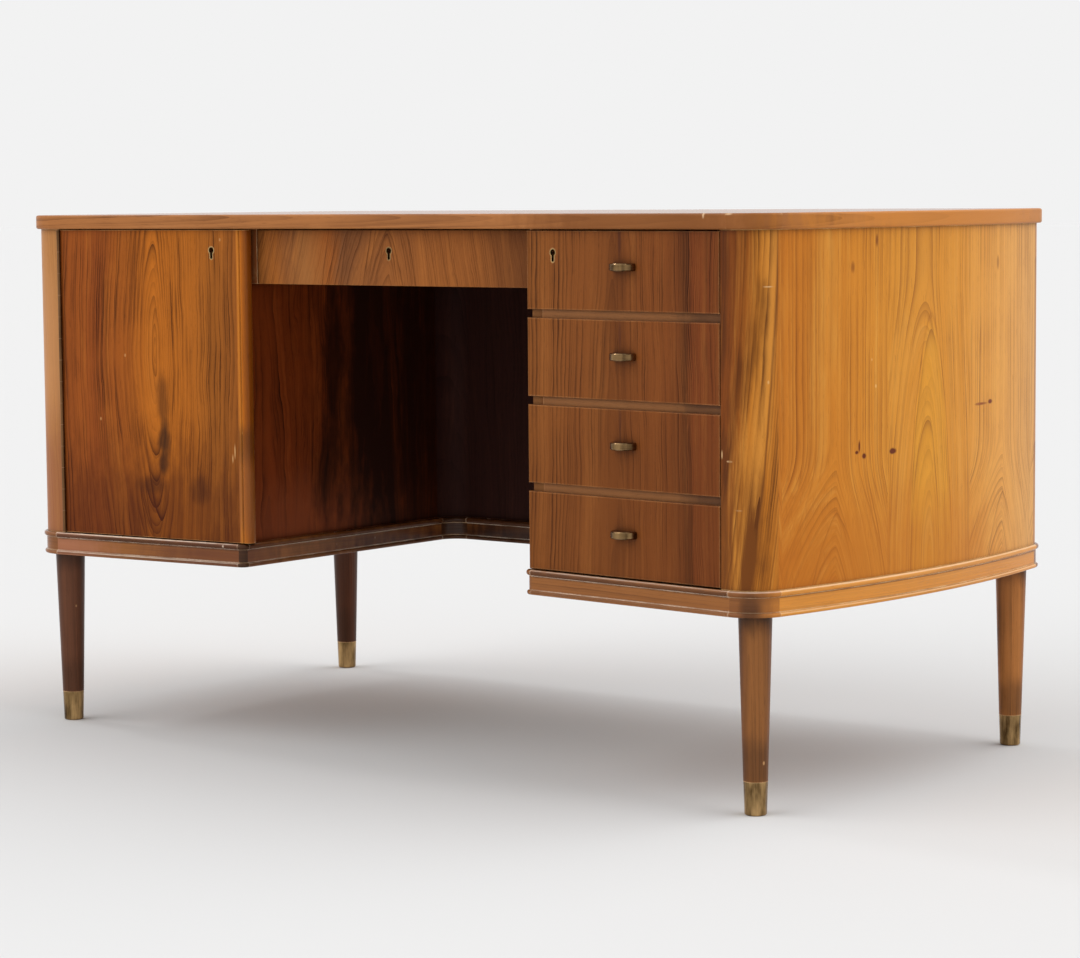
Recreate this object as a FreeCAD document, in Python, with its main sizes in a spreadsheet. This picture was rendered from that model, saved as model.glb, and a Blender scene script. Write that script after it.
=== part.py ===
"""Pedestal writing desk with bowed ends, toed-in fronts and a beaded base, on four turned legs.

Frame: origin on the floor under the middle of the top, X to the right, Y to the back, Z up, in mm.
"""
import FreeCAD
import Part
import math
import os
import re
import Sketcher

# Driving sizes, each written once
SIZES = {
    # overall form
    "desk_height": 750,
    "top_width": 1382,
    "top_depth": 706,
    "top_thick": 20,
    "top_overhang": 7,
    "edge_band": 16,
    "edge_round": 3,
    "corner_radius": 52,
    "bow_radius": 1657,
    "bow_apex": 21,
    "toe_in": 5.4,
    # base moulding and legs
    "leg_height": 252,
    "base_height": 33,
    "base_inside": 7,
    "base_step": 6.5,
    "fascia_proud": 1.5,
    "upper_bead": 3.75,
    "lower_bead": 3,
    "nose_radius": 8,
    "cove_radius": 36,
    "leg_shift": 9,
    "leg_top_radius": 21.5,
    "leg_foot_radius": 14.2,
    "leg_ankle_radius": 15.6,
    "sabot_height": 43,
    "sabot_wall": 1.2,
    "sabot_floor": 2,
    "sabot_round": 2.5,
    "spigot_radius": 9,
    "spigot_length": 13,
    # carcass
    "knee_width": 528,
    "knee_depth": 469,
    "panel_thick": 18,
    "end_thick": 20,
    "lining_thick": 14,
    "back_thick": 12,
    "bottom_thick": 18,
    "post_flat": 14,
    "post_depth": 34,
    "shelf_thick": 18,
    "shelf_gap": 1,
    "shelf_front": 70,
    "shelf_pin_radius": 2.5,
    "shelf_pin_length": 20,
    "shelf_pin_depth": 9,
    "shelf_pin_inset": 60,
    # fronts
    "front_thick": 20,
    "front_overlap": 4,
    "front_gap": 1.5,
    "lip_thick": 6,
    "arris": 1.2,
    "rest_gap": 0.3,
    "rail_gap": 11,
    "rail_height": 18,
    "rail_depth": 45,
    "runner_width": 24,
    "block_gap": 1,
    # drawer boxes
    "drawer_space": 57,
    "box_side": 12,
    "box_bottom": 5,
    "box_clear": 1,
    "box_headroom": 12,
    "bottom_lift": 8,
    "groove_depth": 5,
    "dovetail_cover": 9,
    "tail_width": 14,
    "tail_flare": 2,
    # centre drawer
    "centre_height": 77.5,
    "centre_setback": 25.5,
    "centre_space": 2,
    "centre_side": 16,
    "centre_raise": 4,
    "centre_groove": 8,
    "centre_groove_height": 14,
    "centre_groove_rise": 30,
    "centre_gap": 2,
    # door and piano hinge
    "lipping_end": 246,
    "lipping_width": 17,
    "lipping_groove": 3,
    "groove_sink": 2,
    "leaf_thick": 0.9,
    "leaf_width": 15,
    "leaf_clear": 0.3,
    "knuckle_radius": 2.3,
    "knuckle_clear": 0.2,
    "hinge_pin_radius": 1,
    "pin_clear": 0.05,
    # pulls, keyholes and locks
    "pull_radius": 19.5,
    "pull_thick": 9.5,
    "pull_rim": 1.2,
    "pull_lip": 5,
    "pull_dish": 3,
    "pull_rise": 5,
    "pull_shift": 6,
    "keyhole_drop": 30,
    "keyhole_inset": 46,
    "keyhole_radius": 4.2,
    "keyhole_skirt": 10,
    "keyhole_slot": 4,
    "thread_wall": 1.2,
    "thread_depth": 4,
    "lock_size": 44,
    "lock_thick": 11,
    "lock_setback": 4,
    "bolt_width": 16,
    "bolt_thick": 5,
    "bolt_length": 26,
    "bolt_throw": 11,
    "bolt_clear": 0.5,
}
KNUCKLES = 14
TAILS = 3
CENTRE_TAILS = 2
DRAWERS = (1, 2, 3, 4)
RIGHT = 1
LEFT = -1
BOTH = ((RIGHT, "right"), (LEFT, "left"))

# Places worked out from the driving sizes
PLAN = {
    "half_width": "top_width / 2",
    "half_depth": "top_depth / 2",
    "corner_y": "half_depth - corner_radius",
    "bow_x": "half_width - bow_radius",
    "front_corner_x": "bow_x + sqrt((bow_radius - corner_radius)^2 - (corner_y + bow_apex)^2)",
    "back_corner_x": "bow_x + sqrt((bow_radius - corner_radius)^2 - (corner_y - bow_apex)^2)",
    "front_turn": "asin((corner_y + bow_apex) / (bow_radius - corner_radius)) / 1 deg",
    "back_turn": "asin((corner_y - bow_apex) / (bow_radius - corner_radius)) / 1 deg",
    "base_top": "leg_height + base_height",
    "case_top": "desk_height - top_thick",
    "case_height": "case_top - base_top",
    "case_back": "half_depth - top_overhang",
    "case_corner": "corner_radius - top_overhang",
    "case_bow": "bow_radius - top_overhang",
    "end_bow": "case_bow - end_thick",
    "post_edge": "front_corner_x - case_corner * sin(toe_in) - post_flat",
    "wall_x": "knee_width / 2",
    "bay_in": "wall_x + panel_thick",
    "bay_out": "post_edge - front_gap",
    "front_x": "wall_x - front_overlap",
    "front_zero": "front_corner_x * tan(toe_in) - corner_y - case_corner / cos(toe_in)",
    "top_zero": "front_corner_x * tan(toe_in) - corner_y - corner_radius / cos(toe_in)",
    "front_y": "front_zero - front_x * tan(toe_in)",
    "knee_y": "front_y + knee_depth",
    "back_inside": "case_back - back_thick",
    "hollow_radius": "front_x / sin(toe_in)",
    "hollow_y": "top_zero - front_x * tan(toe_in) - front_x / tan(toe_in)",
    "base_wall": "wall_x - base_step",
    "base_knee_y": "knee_y - base_step",
    "nose_x": "base_wall + nose_radius",
    "nose_y": "front_zero - nose_x * tan(toe_in) + nose_radius / cos(toe_in)",
    "leg_top": "base_top - bottom_thick",
    "board_in": "base_wall + base_inside",
    "board_nose": "nose_radius - base_inside",
    "cove_x": "wall_x - cove_radius",
    "cove_y": "knee_y - cove_radius",
    "front_height": "(case_height - 2 * front_gap - 3 * rail_gap) / 4",
    "drawer_pitch": "front_height + rail_gap",
    "rail_lap": "(rail_height - rail_gap) / 2",
    "block_inset": "rail_lap + block_gap",
    "box_in": "bay_in + box_clear",
    "box_out": "bay_out - box_clear",
    "box_end": "back_inside - drawer_space",
    "box_height": "front_height - 2 * rail_lap - box_headroom",
    "pull_x": "(front_x + bay_out) / 2 + pull_shift",
    "keyhole_x": "front_x + keyhole_inset",
    "keyhole_z": "case_top - keyhole_drop",
    "lock_high": "case_top - front_gap - block_inset",
    "bolt_face": "front_thick + (lock_thick - bolt_thick) / 2",
    "centre_y": "front_y + centre_setback",
    "centre_low": "case_top - centre_height",
    "centre_box": "centre_y + front_thick",
    "centre_end": "cove_y - centre_space",
    "centre_half": "lipping_end - centre_gap",
    "centre_out": "centre_half - box_clear",
    "cheek_x": "centre_half + front_gap",
    "centre_in": "centre_out - centre_side",
    "centre_floor": "centre_low + centre_raise",
    "centre_groove_top": "centre_low + centre_groove_rise + centre_groove_height",
    "door_low": "base_top + front_gap",
    "door_height": "case_height - 2 * front_gap",
    "door_edge": "post_edge - 2 * leaf_thick - leaf_clear",
    "door_joint": "lipping_end + lipping_width",
    "door_nose": "front_thick / 2 * cos(toe_in)",
    "door_nose_x": "lipping_end + door_nose",
    "hinge_x": "-post_edge + leaf_thick + leaf_clear / 2",
    "leaf_y": "front_zero + hinge_x * tan(toe_in)",
    "hinge_y": "leaf_y - knuckle_radius - leaf_clear",
    "knuckle_pitch": f"door_height / {KNUCKLES}",
    "shelf_z": "base_top + case_height / 2",
}

doc = FreeCAD.newDocument("Desk")
sizes = doc.addObject("Spreadsheet::Sheet", "Sizes")
for row, (alias, size) in enumerate(SIZES.items(), start=1):
    sizes.set(f"A{row}", alias.replace("_", " "))
    sizes.set(f"B{row}", str(size))
    sizes.setAlias(f"B{row}", alias)


def bound(text):
    """The expression for a text of plain size names, each read from its sheet."""
    def cell(match):
        word = match.group()
        sheet = "Sizes" if word in SIZES else "Plan"
        return f"{sheet}.{word}" if word in SIZES or word in PLAN else word
    return re.sub(r"[a-z]\w+", cell, str(text))


plan = doc.addObject("Spreadsheet::Sheet", "Plan")
for row, (alias, formula) in enumerate(PLAN.items(), start=1):
    plan.set(f"A{row}", alias.replace("_", " "))
    plan.set(f"B{row}", "=" + bound(formula).replace("Plan.", ""))
    plan.setAlias(f"B{row}", alias)
doc.recompute()

nodes = []
Y_AXIS = FreeCAD.Vector(0, 1, 0)
Z_AXIS = FreeCAD.Vector(0, 0, 1)
TOUCH = 1e-6


def number(text):
    """The value that a size text has now."""
    return float(sizes.evalExpression(bound(text)))


def negate(text):
    return f"-({text})"


def sided(text, side):
    """A place across the desk, as it is on the right or mirrored to the left."""
    return text if side == RIGHT else negate(text)


def place(piece, x="0", y="0", z="0", turn=None, axis=Z_AXIS):
    """Binds a piece's place, and its turn about an axis, to the sheets."""
    if turn is not None:
        piece.Placement = FreeCAD.Placement(FreeCAD.Vector(), FreeCAD.Rotation(axis, number(turn)))
        piece.setExpression("Placement.Rotation.Angle", bound(turn))
    for letter, text in zip("xyz", (x, y, z)):
        piece.setExpression(f"Placement.Base.{letter}", bound(text))


def node(piece, label):
    """Names a piece as one that is written out."""
    piece.Label = label
    nodes.append(piece)


def group(pieces, label):
    """Several like solids that share one name."""
    bundle = doc.addObject("Part::Compound", label)
    bundle.Links = pieces
    node(bundle, label)


def new_body(name):
    return doc.addObject("PartDesign::Body", name)


def outline(body, path, plane="XY_Plane", lift="0"):
    """A closed sketch. A stop is (x, y), or (x, y, centre x, centre y, turn) where an arc leaves it."""
    sketch = body.newObject("Sketcher::SketchObject", body.Name + "_outline")
    support = [feature for feature in body.Origin.OriginFeatures if feature.Role == plane]
    sketch.AttachmentSupport = [(support[0], "")]
    sketch.MapMode = "FlatFace"
    sketch.setExpression("AttachmentOffset.Base.z", bound(lift))
    points = [FreeCAD.Vector(number(stop[0]), number(stop[1]), 0) for stop in path]
    ends = []
    for index, stop in enumerate(path):
        start = points[index]
        finish = points[(index + 1) % len(path)]
        if len(stop) == 2:
            sketch.addGeometry(Part.LineSegment(start, finish))
            ends.append((1, 2))
            continue
        centre = FreeCAD.Vector(number(stop[2]), number(stop[3]), 0)
        first, last = (start, finish) if stop[4] > 0 else (finish, start)
        angles = [math.atan2(point.y - centre.y, point.x - centre.x) for point in (first, last)]
        circle = Part.Circle(centre, Z_AXIS, (start - centre).Length)
        sketch.addGeometry(Part.ArcOfCircle(circle, *angles))
        ends.append((1, 2) if stop[4] > 0 else (2, 1))

    def lock(kind, index, point, text):
        here = sketch.addConstraint(Sketcher.Constraint(kind, index, point, number(text)))
        sketch.setExpression(f"Constraints[{here}]", bound(text))

    for index, stop in enumerate(path):
        after = (index + 1) % len(path)
        meeting = Sketcher.Constraint("Coincident", index, ends[index][1], after, ends[after][0])
        sketch.addConstraint(meeting)
        lock("DistanceX", index, ends[index][0], stop[0])
        lock("DistanceY", index, ends[index][0], stop[1])
        if len(stop) > 2:
            chord = points[after] - points[index]
            steep = abs(chord.y) > abs(chord.x)
            lock("DistanceX" if steep else "DistanceY", index, 3, stop[2] if steep else stop[3])
    return sketch


def pad(body, path, length, plane="XY_Plane", lift="0", flip=False):
    """An outline made solid along its plane's normal."""
    feature = body.newObject("PartDesign::Pad", body.Name + "_pad")
    feature.Profile = outline(body, path, plane, lift)
    feature.Reversed = flip
    feature.setExpression("Length", bound(length))
    body.Tip = feature
    return feature


def soften(body, feature, face_y):
    """Rounds the arrises round a front face, whose place at each distance across is face_y."""
    doc.recompute()
    edges = []
    for count, edge in enumerate(feature.Shape.Edges, start=1):
        if all(abs(corner.Y - face_y(corner.X)) < TOUCH for corner in edge.Vertexes):
            edges.append(f"Edge{count}")
    fillet = body.newObject("PartDesign::Fillet", body.Name + "_arris")
    fillet.Base = (feature, edges)
    fillet.setExpression("Radius", bound("arris"))
    body.Tip = fillet


def prism(name, path, low, height):
    """A plan outline that stands upright from one level."""
    body = new_body(name)
    pad(body, path, height)
    place(body, z=low)
    return body


def board(name, x_span, y_span, z_span):
    """A square-cut board between two places on each axis."""
    box = doc.addObject("Part::Box", name)
    for side, (low, high) in zip(("Length", "Width", "Height"), (x_span, y_span, z_span)):
        box.setExpression(side, bound(f"({high}) - ({low})"))
    place(box, x_span[0], y_span[0], z_span[0])
    return box


def turned(name, path, sweep="360"):
    """A profile of (radius, height) turned about the upright axis."""
    body = new_body(name)
    feature = body.newObject("PartDesign::Revolution", name + "_turn")
    feature.Profile = outline(body, path, "XZ_Plane")
    feature.ReferenceAxis = (feature.Profile[0], ["V_Axis"])
    feature.setExpression("Angle", bound(sweep))
    body.Tip = feature
    return body


def rod(name, radius, length, x, y, z, turn=None, axis=Z_AXIS):
    """A round rod that starts at a place and runs up, or along the way it is turned."""
    piece = doc.addObject("Part::Cylinder", name)
    piece.setExpression("Radius", bound(radius))
    piece.setExpression("Height", bound(length))
    place(piece, x, y, z, turn, axis)
    return piece


def cut(base, tools):
    """A piece with others taken out of it, one after the other."""
    for tool in tools:
        result = doc.addObject("Part::Cut", base.Name + "_less")
        result.Base = base
        result.Tool = tool
        base = result
    return base


def join(name, pieces):
    """Pieces that are made in one."""
    result = doc.addObject("Part::MultiFuse", name)
    result.Shapes = pieces
    return result


def rectangle(x_span, y_span):
    return [(x_span[0], y_span[0]), (x_span[1], y_span[0]), (x_span[1], y_span[1]), (x_span[0], y_span[1])]


def mirrored(path):
    """The same outline on the other side of the desk."""
    flipped = []
    for stop in path:
        here = (negate(stop[0]), stop[1])
        if len(stop) > 2:
            here += (negate(stop[2]), stop[3], -stop[4])
        flipped.append(here)
    return flipped


def on_side(path, side):
    return path if side == RIGHT else mirrored(path)


def both_sides(path, closing):
    """A closed outline from its right half, front to back, with the arc that closes it in front."""
    stops = list(path)
    for index in range(len(path) - 1, 0, -1):
        here = (negate(path[index][0]), path[index][1])
        arc = path[index - 1][2:]
        if arc:
            here += (negate(arc[0]), arc[1], arc[2])
        stops.append(here)
    return stops + [(negate(path[0][0]), path[0][1]) + closing]


def front_line(x, behind="0"):
    """How far back the toed-in front is at a distance from the middle, with a depth behind its face."""
    return f"front_zero - ({x}) * tan(toe_in) + {behind}"


def front_strip(near, far, face, back):
    """The plan of a front piece between two distances from the middle and two depths behind the face."""
    return [
        (near, front_line(near, face)),
        (far, front_line(far, face)),
        (far, front_line(far, back)),
        (near, front_line(near, back)),
    ]


def front_to(near, far, face, end):
    """The plan of a piece that starts behind a toed-in front and ends square across the desk."""
    return front_strip(near, far, face, face)[:2] + [(far, end), (near, end)]


def centre_strip(near, far, face, back):
    """The plan of a piece of the centre drawer, which stands square across the kneehole."""
    return rectangle((near, far), (f"centre_y + {face}", f"centre_y + {back}"))


# Lengths of moulding and edge band that follow the plan

def straight_run(name, profile, x, y, z, facing, length):
    """A straight length whose profile faces an angle, running from its start to the profile's right."""
    body = new_body(name)
    pad(body, profile, length, "XZ_Plane")
    place(body, x, y, z, facing)
    return body


def arc_run(name, profile, x, y, z, radius, start, sweep, hollow=False):
    """A length bent round an upright axis; on a hollow corner its face looks towards the axis."""
    sign = "-" if hollow else "+"
    path = []
    for stop in profile:
        here = (f"{radius} {sign} ({stop[0]})", stop[1])
        if len(stop) > 2:
            here += (f"{radius} {sign} ({stop[2]})", stop[3], -stop[4] if hollow else stop[4])
        path.append(here)
    body = turned(name, path, sweep)
    place(body, x, y, z, start)
    return body


def outer_runs(name, profile, z, inset, zero, front_inner):
    """Fronts, corners, bowed ends and back of the plan, at an inset from the top's edge."""
    radius = f"corner_radius - ({inset})"
    bow = f"bow_radius - ({inset})"
    tangent_x = f"front_corner_x - ({radius}) * sin(toe_in)"
    length = f"({tangent_x} - ({front_inner})) / cos(toe_in)"
    outer_y = f"{zero} - ({tangent_x}) * tan(toe_in)"
    inner_x = negate(front_inner)
    inner_y = f"{zero} - ({front_inner}) * tan(toe_in)"
    back_y = f"half_depth - ({inset})"
    front_sweep = "90 + toe_in - front_turn"
    back_sweep = "90 - back_turn"
    bow_sweep = "front_turn + back_turn"
    lengths = [
        straight_run(name + "_front_right", profile, tangent_x, outer_y, z, "-90 - toe_in", length),
        straight_run(name + "_front_left", profile, inner_x, inner_y, z, "-90 + toe_in", length),
        straight_run(name + "_back", profile, "-back_corner_x", back_y, z, "90", "2 * back_corner_x"),
    ]
    corners = []
    for word, x, y, start, sweep in (
        ("front_right", "front_corner_x", "-corner_y", "-90 - toe_in", front_sweep),
        ("front_left", "-front_corner_x", "-corner_y", "180 + front_turn", front_sweep),
        ("back_right", "back_corner_x", "corner_y", "back_turn", back_sweep),
        ("back_left", "-back_corner_x", "corner_y", "90", back_sweep),
    ):
        corners.append(arc_run(f"{name}_corner_{word}", profile, x, y, z, radius, start, sweep))
    bows = [
        arc_run(name + "_bow_right", profile, "bow_x", "bow_apex", z, bow, "-front_turn", bow_sweep),
        arc_run(name + "_bow_left", profile, "-bow_x", "bow_apex", z, bow, "180 - back_turn", bow_sweep),
    ]
    return lengths, corners, bows


def outer_plan(inset, zero):
    """The right-hand plan from the front round the bowed end to the back, inset from the top's edge."""
    radius = f"(corner_radius - ({inset}))"
    bow = f"(bow_radius - ({inset}))"
    tangent_x = f"front_corner_x - {radius} * sin(toe_in)"
    front_end = (f"bow_x + {bow} * cos(front_turn)", f"bow_apex - {bow} * sin(front_turn)")
    back_end = (f"bow_x + {bow} * cos(back_turn)", f"bow_apex + {bow} * sin(back_turn)")
    return [
        (tangent_x, f"{zero} - ({tangent_x}) * tan(toe_in)", "front_corner_x", "-corner_y", 1),
        (*front_end, "bow_x", "bow_apex", 1),
        (*back_end, "back_corner_x", "corner_y", 1),
        ("back_corner_x", f"half_depth - ({inset})"),
    ]


# Base: beaded moulding in lengths, with corner blocks, round both pedestals and the kneehole
MOULDING = [
    ("-base_inside", "0"),
    ("fascia_proud", "0", "fascia_proud", "lower_bead", 1),
    ("fascia_proud", "2 * lower_bead"),
    ("fascia_proud", "base_height - 2 * upper_bead", "fascia_proud", "base_height - upper_bead", 1),
    ("fascia_proud", "base_height"),
    ("-base_inside", "base_height"),
]
nose_front = "nose_x - nose_radius * sin(toe_in)"
wall_run = "cove_y - nose_y"
lengths, corners, bows = outer_runs("base", MOULDING, "leg_height", "top_overhang", "front_zero",
                                    nose_front)
lengths += [
    straight_run("base_knee_left", MOULDING, "-base_wall", "cove_y", "leg_height", "0", wall_run),
    straight_run("base_knee_right", MOULDING, "base_wall", "nose_y", "leg_height", "180", wall_run),
    straight_run("base_knee_back", MOULDING, "cove_x", "base_knee_y", "leg_height", "-90", "2 * cove_x"),
]
for word, x, y, radius, start, sweep, hollow in (
    ("nose_right", "nose_x", "nose_y", "nose_radius", "180", "90 - toe_in", False),
    ("nose_left", "-nose_x", "nose_y", "nose_radius", "-90 + toe_in", "90 - toe_in", False),
    ("cove_right", "cove_x", "cove_y", "cove_radius - base_step", "0", "90", True),
    ("cove_left", "-cove_x", "cove_y", "cove_radius - base_step", "90", "90", True),
):
    corners.append(arc_run(f"base_{word}", MOULDING, x, y, "leg_height", radius, start, sweep, hollow))
group(lengths, "base_straight_mouldings")
group(bows, "base_bow_mouldings")
group(corners, "base_corner_blocks")

# Bottom boards lie inside the moulding, fill behind its coves and take the legs' spigots
LEGS = {
    "front_left": ("-front_corner_x - leg_shift", "-corner_y - leg_shift"),
    "front_right": ("front_corner_x + leg_shift", "-corner_y - leg_shift"),
    "back_left": ("-back_corner_x - leg_shift", "corner_y + leg_shift"),
    "back_right": ("back_corner_x + leg_shift", "corner_y + leg_shift"),
}
pedestal_bottom = [
    ("board_in", "nose_y", "nose_x", "nose_y", 1),
    ("nose_x - board_nose * sin(toe_in)", "nose_y - board_nose * cos(toe_in)"),
]
pedestal_bottom += outer_plan("top_overhang + base_inside", "front_zero + base_inside / cos(toe_in)")
pedestal_bottom += [("board_in", "case_back - base_inside")]
cove_filler = [
    ("board_in", "base_knee_y + base_inside"),
    ("cove_x", "base_knee_y + base_inside", "cove_x", "cove_y", -1),
    ("board_in", "cove_y"),
]
bottoms = []
for side, word in BOTH:
    blank = prism(f"bottom_{word}", on_side(pedestal_bottom, side), "leg_top", "bottom_thick")
    sockets = []
    for end in ("front", "back"):
        x, y = LEGS[f"{end}_{word}"]
        sockets.append(rod(f"socket_{end}_{word}", "spigot_radius + pin_clear", "spigot_length + pin_clear",
                           x, y, "leg_top"))
    bottoms.append(cut(blank, sockets))
    bottoms.append(prism(f"cove_filler_{word}", on_side(cove_filler, side), "leg_top", "bottom_thick"))
bottoms.append(board("bottom_bridge", ("-board_in", "board_in"),
                     ("base_knee_y + base_inside", "case_back - base_inside"), ("leg_top", "base_top")))
group(bottoms, "bottom_boards")

# Legs: turned and tapered, with a spigot above and an ankle that fits the brass sabot
taper = "(leg_top_radius - leg_ankle_radius) / (leg_height - sabot_height)"
LEG_PROFILE = [
    ("0", "sabot_floor"),
    ("leg_foot_radius - sabot_wall", "sabot_floor"),
    ("leg_ankle_radius - sabot_wall", "sabot_height"),
    ("leg_ankle_radius", "sabot_height"),
    (f"leg_ankle_radius + {taper} * (leg_top - sabot_height)", "leg_top"),
    ("spigot_radius", "leg_top"),
    ("spigot_radius", "leg_top + spigot_length"),
    ("0", "leg_top + spigot_length"),
]
SABOT_PROFILE = [
    ("0", "0"),
    ("leg_foot_radius - sabot_round", "0", "leg_foot_radius - sabot_round", "sabot_round", 1),
    ("leg_foot_radius", "sabot_round"),
    ("leg_ankle_radius", "sabot_height"),
    ("leg_ankle_radius - sabot_wall", "sabot_height"),
    ("leg_foot_radius - sabot_wall", "sabot_floor"),
    ("0", "sabot_floor"),
]
sabots = []
for word, (x, y) in LEGS.items():
    leg = turned(f"leg_{word}", LEG_PROFILE)
    place(leg, x, y)
    node(leg, f"leg_{word}")
    sabot = turned(f"sabot_{word}", SABOT_PROFILE)
    place(sabot, x, y)
    sabots.append(sabot)
group(sabots, "leg_sabots")

# Bowed end panels between solid rounded corner posts, with backs and linings inside
case_plan = outer_plan("top_overhang", "front_zero")
front_post = [
    ("post_edge", front_line("post_edge")),
    case_plan[0],
    case_plan[1][:2],
    ("bow_x + end_bow * cos(front_turn)", "bow_apex - end_bow * sin(front_turn)"),
    ("post_edge", front_line("post_edge", "post_depth")),
]
back_post = [
    ("post_edge", "case_back"),
    ("post_edge", "case_back - post_depth"),
    ("bow_x + end_bow * cos(back_turn)", "bow_apex + end_bow * sin(back_turn)"),
    case_plan[2],
    case_plan[3],
]
END_PROFILE = rectangle(("end_bow", "case_bow"), ("0", "case_height"))
lining = rectangle(("bay_out", "bay_out + lining_thick"),
                   (front_line("bay_out", "post_depth + end_thick"), "case_back - post_depth - end_thick"))
pin_ys = (front_line("bay_out", "shelf_front + shelf_pin_inset"), "back_inside - shelf_pin_inset")
pin_z = "shelf_z - shelf_pin_radius"
pins = []
pin_xs = {
    "lining": "-bay_out - shelf_pin_depth",
    "wall": "-bay_in + shelf_pin_depth - shelf_pin_length",
}
holes = {"lining": [], "wall": []}
for end, y in zip(("front", "back"), pin_ys):
    for wall, x in pin_xs.items():
        pins.append(rod(f"shelf_pin_{wall}_{end}", "shelf_pin_radius", "shelf_pin_length",
                        x, y, pin_z, "90", Y_AXIS))
        holes[wall].append(rod(f"shelf_hole_{wall}_{end}", "shelf_pin_radius + pin_clear",
                               "shelf_pin_length", x, y, pin_z, "90", Y_AXIS))
group(pins, "shelf_pins")
back_posts = []
backs = []
linings = []
for side, word in BOTH:
    post = prism(f"{word}_front_post", on_side(front_post, side), "base_top", "case_height")
    node(post, f"{word}_front_post")
    panel = turned(f"{word}_end_panel", END_PROFILE, "front_turn + back_turn")
    start = "-front_turn" if side == RIGHT else "180 - back_turn"
    place(panel, sided("bow_x", side), "bow_apex", "base_top", start)
    node(panel, f"{word}_end_panel")
    back_posts.append(prism(f"{word}_back_post", on_side(back_post, side), "base_top", "case_height"))
    back = rectangle(("bay_in", "post_edge"), ("back_inside", "case_back"))
    backs.append(prism(f"{word}_back_panel", on_side(back, side), "base_top", "case_height"))
    slab = prism(f"{word}_lining", on_side(lining, side), "base_top", "case_height")
    linings.append(slab if side == RIGHT else cut(slab, holes["lining"]))
group(back_posts, "back_corner_posts")
group(backs, "pedestal_backs")
group(linings, "pedestal_linings")

# Locks: a case behind each locked front, and a bolt that shoots into the top or the inner side


def upright_lock(name, strip, middle, near):
    """A lock whose case starts at a near side and whose bolt shoots up; gives case, bolt and mortise."""
    wide = (f"{middle} - bolt_width / 2", f"{middle} + bolt_width / 2")
    slack = (f"{wide[0]} - bolt_clear", f"{wide[1]} + bolt_clear")
    depth = ("bolt_face", "bolt_face + bolt_thick")
    loose = ("bolt_face - bolt_clear", "bolt_face + bolt_thick + bolt_clear")
    box = strip(near, f"{near} + lock_size", "front_thick", "front_thick + lock_thick")
    blank = prism(f"{name}_blank", box, "lock_high - lock_size", "lock_size")
    channel = prism(f"{name}_channel", strip(*slack, *loose), "lock_high - bolt_length",
                    "bolt_length + block_gap")
    bolt = prism(f"{name}_bolt", strip(*wide, *depth), "lock_high - bolt_length", "bolt_length")
    mortise = prism(f"{name}_mortise", strip(*slack, *loose), "case_top",
                    "lock_high + bolt_throw - case_top + bolt_clear")
    return cut(blank, [channel]), bolt, mortise


drawer_lock, drawer_bolt, drawer_mortise = upright_lock("drawer_lock", front_strip, "keyhole_x",
                                                         "box_in + box_side + block_gap")
centre_lock, centre_bolt, centre_mortise = upright_lock("centre_lock", centre_strip, "0", "-lock_size / 2")
node(drawer_lock, "drawer_1_lock_case")
node(drawer_bolt, "drawer_1_lock_bolt")
node(centre_lock, "centre_drawer_lock_case")
node(centre_bolt, "centre_drawer_lock_bolt")

lock_near = "bay_in + lock_setback"
bolt_low = "keyhole_z - bolt_width / 2"
bolt_end = f"{lock_near} + bolt_length"
bolt_depth = ("bolt_face", "bolt_face + bolt_thick")
bolt_loose = ("bolt_face - bolt_clear", "bolt_face + bolt_thick + bolt_clear")
lock_plan = front_strip(lock_near, f"{lock_near} + lock_size", "front_thick", "front_thick + lock_thick")
channel_plan = front_strip(f"{lock_near} - block_gap", bolt_end, *bolt_loose)
mortise_plan = front_strip("bay_in + lock_setback - bolt_throw - block_gap", "bay_in", *bolt_loose)
door_case = prism("door_lock_blank", mirrored(lock_plan), "keyhole_z - lock_size / 2", "lock_size")
door_channel = prism("door_lock_channel", mirrored(channel_plan), bolt_low, "bolt_width + bolt_clear")
bolt_plan = front_strip(lock_near, bolt_end, *bolt_depth)
door_bolt = prism("door_bolt", mirrored(bolt_plan), bolt_low, "bolt_width")
door_mortise = prism("door_mortise", mirrored(mortise_plan), f"{bolt_low} - bolt_clear",
                     "bolt_width + 2 * bolt_clear")
node(cut(door_case, [door_channel]), "door_lock_case")
node(door_bolt, "door_lock_bolt")

# Kneehole: inner sides that run through to the back, a panel across, and coved corners
right_side = front_to("wall_x", "bay_in", "lip_thick + rest_gap", "case_back")
left_side = front_to("wall_x", "bay_in", "front_thick + rest_gap", "case_back")
node(prism("right_inner_side", right_side, "base_top", "case_height"), "right_inner_side")
left_blank = prism("left_side_blank", mirrored(left_side), "base_top", "case_height")
node(cut(left_blank, [door_mortise] + holes["wall"]), "left_inner_side")
knee = board("knee_panel", ("-wall_x", "wall_x"), ("knee_y", "knee_y + back_thick"),
             ("base_top", "case_top"))
node(knee, "knee_panel")
cove = [
    ("wall_x", "knee_y"),
    ("cove_x", "knee_y", "cove_x", "cove_y", -1),
    ("wall_x", "cove_y"),
]
coves = [prism(f"knee_cove_{word}", on_side(cove, side), "base_top", "case_height") for side, word in BOTH]
group(coves, "knee_corner_coves")
node(board("bookcase_shelf", ("-wall_x", "wall_x"), ("knee_y + back_thick", "case_back - lip_thick"),
           ("shelf_z", "shelf_z + shelf_thick")), "bookcase_shelf")
shelf = front_to("bay_in + shelf_gap", "bay_out - shelf_gap", "shelf_front", "back_inside - shelf_gap")
node(prism("cabinet_shelf", mirrored(shelf), "shelf_z", "shelf_thick"), "cabinet_shelf")

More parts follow.
